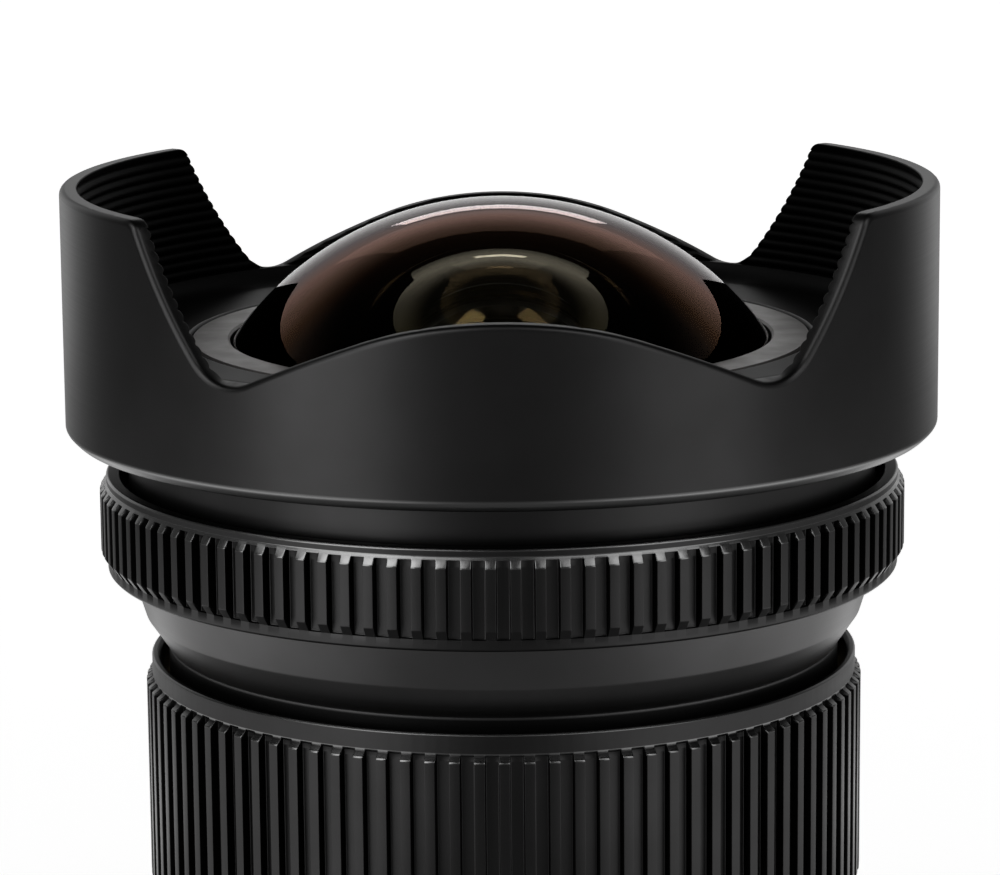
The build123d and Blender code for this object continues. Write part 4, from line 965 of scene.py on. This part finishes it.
def wrapped(name, flat_points, faces, turn, foot, slope, body):
    """Wrap (right, up, out) points round a turned wall. The foot is its (radius, height) at up 0."""
    points = []
    for right, up, out in flat_points:
        radius = foot[0] + slope * up + out
        angle = radians(turn) + right / foot[0]
        points.append((radius * cos(angle), radius * sin(angle), foot[1] + up))
    add_piece(name, points, faces, body, "mount_metal", look=PAINT_LOOK)


def figures(name, characters, size, turn, foot, slope, body, lying=False):
    """Painted figures in the plain built-in font, lying on their side where asked."""
    curve = bpy.data.curves.new(name + "_outline", "FONT")
    curve.body = characters
    curve.size = size
    curve.align_x, curve.align_y = "CENTER", "CENTER"
    curve.extrude = (PAINT_DEPTH + PAINT_SINK) / 2
    helper = bpy.data.objects.new(name + "_outline", curve)
    bpy.context.scene.collection.objects.link(helper)
    graph = bpy.context.evaluated_depsgraph_get()
    flat = bpy.data.meshes.new_from_object(helper.evaluated_get(graph))
    faces = [tuple(polygon.vertices) for polygon in flat.polygons]
    lift = (PAINT_DEPTH - PAINT_SINK) / 2
    points = [(v.co.x, v.co.y, v.co.z + lift) for v in flat.vertices]
    if lying:
        points = [(-y, x, z) for x, y, z in points]
    bpy.data.objects.remove(helper)
    bpy.data.curves.remove(curve)
    bpy.data.meshes.remove(flat)
    wrapped(name, points, faces, turn, foot, slope, body)


def mark(name, size, turn, foot, slope, body):
    """A painted line of (width, length) up a turned wall, with cut corners."""
    width, length = size
    half, cut = width / 2, width / 4
    outline = [(-half, cut), (-half + cut, 0), (half - cut, 0), (half, cut)]
    outline += [(half, length - cut), (half - cut, length), (cut - half, length), (-half, length - cut)]
    count = len(outline)
    points = [(x, y, -PAINT_SINK) for x, y in outline] + [(x, y, PAINT_DEPTH) for x, y in outline]
    faces = [tuple(reversed(range(count))), tuple(range(count, 2 * count))]
    faces += [(n, (n + 1) % count, count + (n + 1) % count, count + n) for n in range(count)]
    wrapped(name, points, faces, turn, foot, slope, body)


def make_aperture_scale():
    """The stops on the sleeve, where the blades open that far, and the index mark on the ring."""
    slope = (SLEEVE_RADIUS - CREASE_RADIUS) / (SLEEVE_TOP - CREASE_HEIGHT)

    def on_sleeve(height):
        return (CREASE_RADIUS + slope * (height - CREASE_HEIGHT), height)

    for index, stop in enumerate(STOPS):
        wanted = WIDEST_RADIUS / sqrt(2) ** index
        turn = 2 * degrees(asin((OPEN_RADIUS - wanted) / (2 * PIVOT_RADIUS))) / BLADE_RATIO
        figures(f"stop_{index}", stop, STOP_SIZE, turn, on_sleeve(STOP_HEIGHT), slope, "lens_unit")
        mark(f"stop_mark_{index}", STOP_MARK, turn, on_sleeve(STOP_MARK_LOW), slope, "lens_unit")
    mark("aperture_index", APERTURE_INDEX, 0, (APERTURE_RIM, APERTURE_INDEX_LOW), 0, "aperture_ring")


def make_focus_scale():
    """The distances in metres on the focus ring, by the lens's travel, and the base's index mark."""
    mark("focus_index", FOCUS_INDEX, 0, (BASE_RADIUS, FOCUS_INDEX_LOW), 0, "barrel")
    foot = (FOCUS_RIM, DISTANCE_HEIGHT)
    near_space = NEAREST - FOCAL_LENGTH**2 / FOCUS_TRAVEL
    for index, distance in enumerate(DISTANCES):
        travel = FOCAL_LENGTH**2 / (float(distance) / MM - near_space)
        turn = -FOCUS_TURN * travel / FOCUS_TRAVEL
        figures(f"distance_{index}", distance, DISTANCE_SIZE, turn, foot, 0, "focus_ring")
    figures("distance_far", "8", DISTANCE_SIZE, 0, foot, 0, "focus_ring", lying=True)


def make_camera():
    rim = Vector((0, 0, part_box("petal_hood")[1].z))
    data = bpy.data.cameras.new("camera")
    data.sensor_fit = "HORIZONTAL"
    data.sensor_width = SENSOR_WIDTH
    data.lens = CAMERA_LENS
    data.clip_start = CLIP_START * MM
    data.clip_end = CLIP_END * MM
    camera = bpy.data.objects.new("camera", data)
    pitch = Matrix.Rotation(radians(90 - CAMERA_PITCH), 4, "X")
    roll = Matrix.Rotation(radians(CAMERA_ROLL), 4, "Z")
    spot = rim + Vector((CAMERA_SIDE, -CAMERA_AWAY, CAMERA_ABOVE)) * MM
    camera.matrix_world = Matrix.Translation(spot) @ (pitch @ roll)
    bpy.context.scene.collection.objects.link(camera)
    bpy.context.scene.camera = camera


def make_world():
    """A white wall behind, dimmer ones elsewhere, and a dark ceiling. The camera sees white."""
    world = bpy.data.worlds.new("studio")
    world.use_nodes = True
    tree = Tree(world.node_tree)
    direction = tree.split(tree.add("TexCoord").outputs["Generated"])
    wall = tree.ramp(direction["Y"], SIDE_GLOW, WALL_GLOW, WALL_SIDE, WALL_BEHIND, smooth=True)
    below = tree.ramp(direction["Z"], 1.0, ROOM_SHARE, WALL_TOP_START, WALL_TOP_END, smooth=True)
    background = tree.tree.nodes["Background"]
    background.inputs["Color"].default_value = (1, 1, 1, 1)
    strength = tree.math("MAXIMUM", tree.times(wall, below), tree.seen_by_camera())
    tree.join(strength, background.inputs["Strength"])
    bpy.context.scene.world = world


def floor_look():
    shader = Shader("floor_look")
    spot = shader.split(shader.place)
    away = shader.distance(shader.place)
    ring = shader.times(shader.ramp(away, 0, 1, *CARD_START), shader.ramp(away, 1, 0, *CARD_END))
    sideways = shader.math("ABSOLUTE", spot["X"])
    front = shader.ramp(spot["Y"], 1, 0, *CARD_BACK)
    sides = shader.times(shader.ramp(sideways, 0, CARD_GLOW, *CARD_INNER_SIDE), front)
    mirrored = shader.math("ADD", shader.times(ring, sides), LOW_GLOW)
    glow = shader.ramp(shader.seen_by_camera(), mirrored, FLOOR_GLOW, 0, 1)
    shader.set(base_color=(FLOOR_COLOUR, FLOOR_COLOUR, FLOOR_COLOUR, 1), roughness=0.9, specular=0.0)
    shader.set(emission_color=(1, 1, 1, 1), emission_strength=glow)
    return shader.material


def make_floor():
    low = cad_box[0].z
    mesh = bpy.data.meshes.new("floor")
    corners = [(-1, -1), (1, -1), (1, 1), (-1, 1)]
    mesh.from_pydata([(x * FLOOR_REACH, y * FLOOR_REACH, low) for x, y in corners], [], [(0, 1, 2, 3)])
    mesh.materials.append(floor_look())
    floor = bpy.data.objects.new("floor", mesh)
    bpy.context.scene.collection.objects.link(floor)


def softbox(name, turn, away, low, high, width, radiance, spared=()):
    """An upright light, in metres, turned round the lens from -Y. It leaves the spared objects out."""
    data = bpy.data.lights.new(name, "AREA")
    data.shape = "RECTANGLE"
    data.size, data.size_y = width, high - low
    data.energy = radiance * pi * width * (high - low)
    light = bpy.data.objects.new(name, data)
    angle = radians(turn)
    spot = Vector((away * sin(angle), -away * cos(angle), (low + high) / 2))
    upright = Matrix.Rotation(angle, 4, "Z") @ Matrix.Rotation(radians(90), 4, "X")
    light.matrix_world = Matrix.Translation(spot) @ upright
    light.visible_camera = False
    bpy.context.scene.collection.objects.link(light)
    if spared:
        group = bpy.data.collections.new(name + "_spares")
        for thing in spared:
            group.objects.link(bpy.data.objects[thing])
        light.light_linking.receiver_collection = group
        for entry in group.collection_objects:
            entry.light_linking.link_state = "EXCLUDE"


def make_lights():
    """Two boxes behind, two in front, and four that leave the floor and the two big glasses out."""
    others = ["floor", "front_glass", "second_glass"]
    front = {"away": 0.32, "low": -0.005, "high": 0.5, "spared": ["floor"]}
    above = {"away": 0.5, "low": 0.5, "high": 1.1, "spared": others}
    back = {"away": 0.4, "low": 0, "high": 0.5, "spared": others}
    softbox("back_strip", turn=180, away=1.3, low=0.52, high=0.65, width=0.54, radiance=5)
    softbox("back_panel", turn=180, away=1.3, low=0.72, high=1.38, width=1.2, radiance=0.33)
    softbox("left_softbox", turn=-45, width=0.19, radiance=7, **front)
    softbox("right_softbox", turn=48, width=0.17, radiance=4, **front)
    softbox("left_high", turn=-50, width=0.78, radiance=4.6, **above)
    softbox("right_high", turn=35, width=0.42, radiance=4, **above)
    softbox("back_left", turn=-140, width=0.2, radiance=1.3, **back)
    softbox("back_right", turn=140, width=0.2, radiance=1.2, **back)


dress_nodes()
make_scale_sleeve()
make_aperture_scale()
make_focus_scale()
make_hood()
make_focus_ring()
make_aperture_ring()
glass_body("front_glass", "element_1", FIRST_GLASS, FIRST_LOOK)
glass_body("second_glass", "element_2", SECOND_GLASS, SECOND_LOOK)
make_camera()
make_world()
make_floor()
make_lights()
bpy.context.scene.view_settings.view_transform = "Standard"
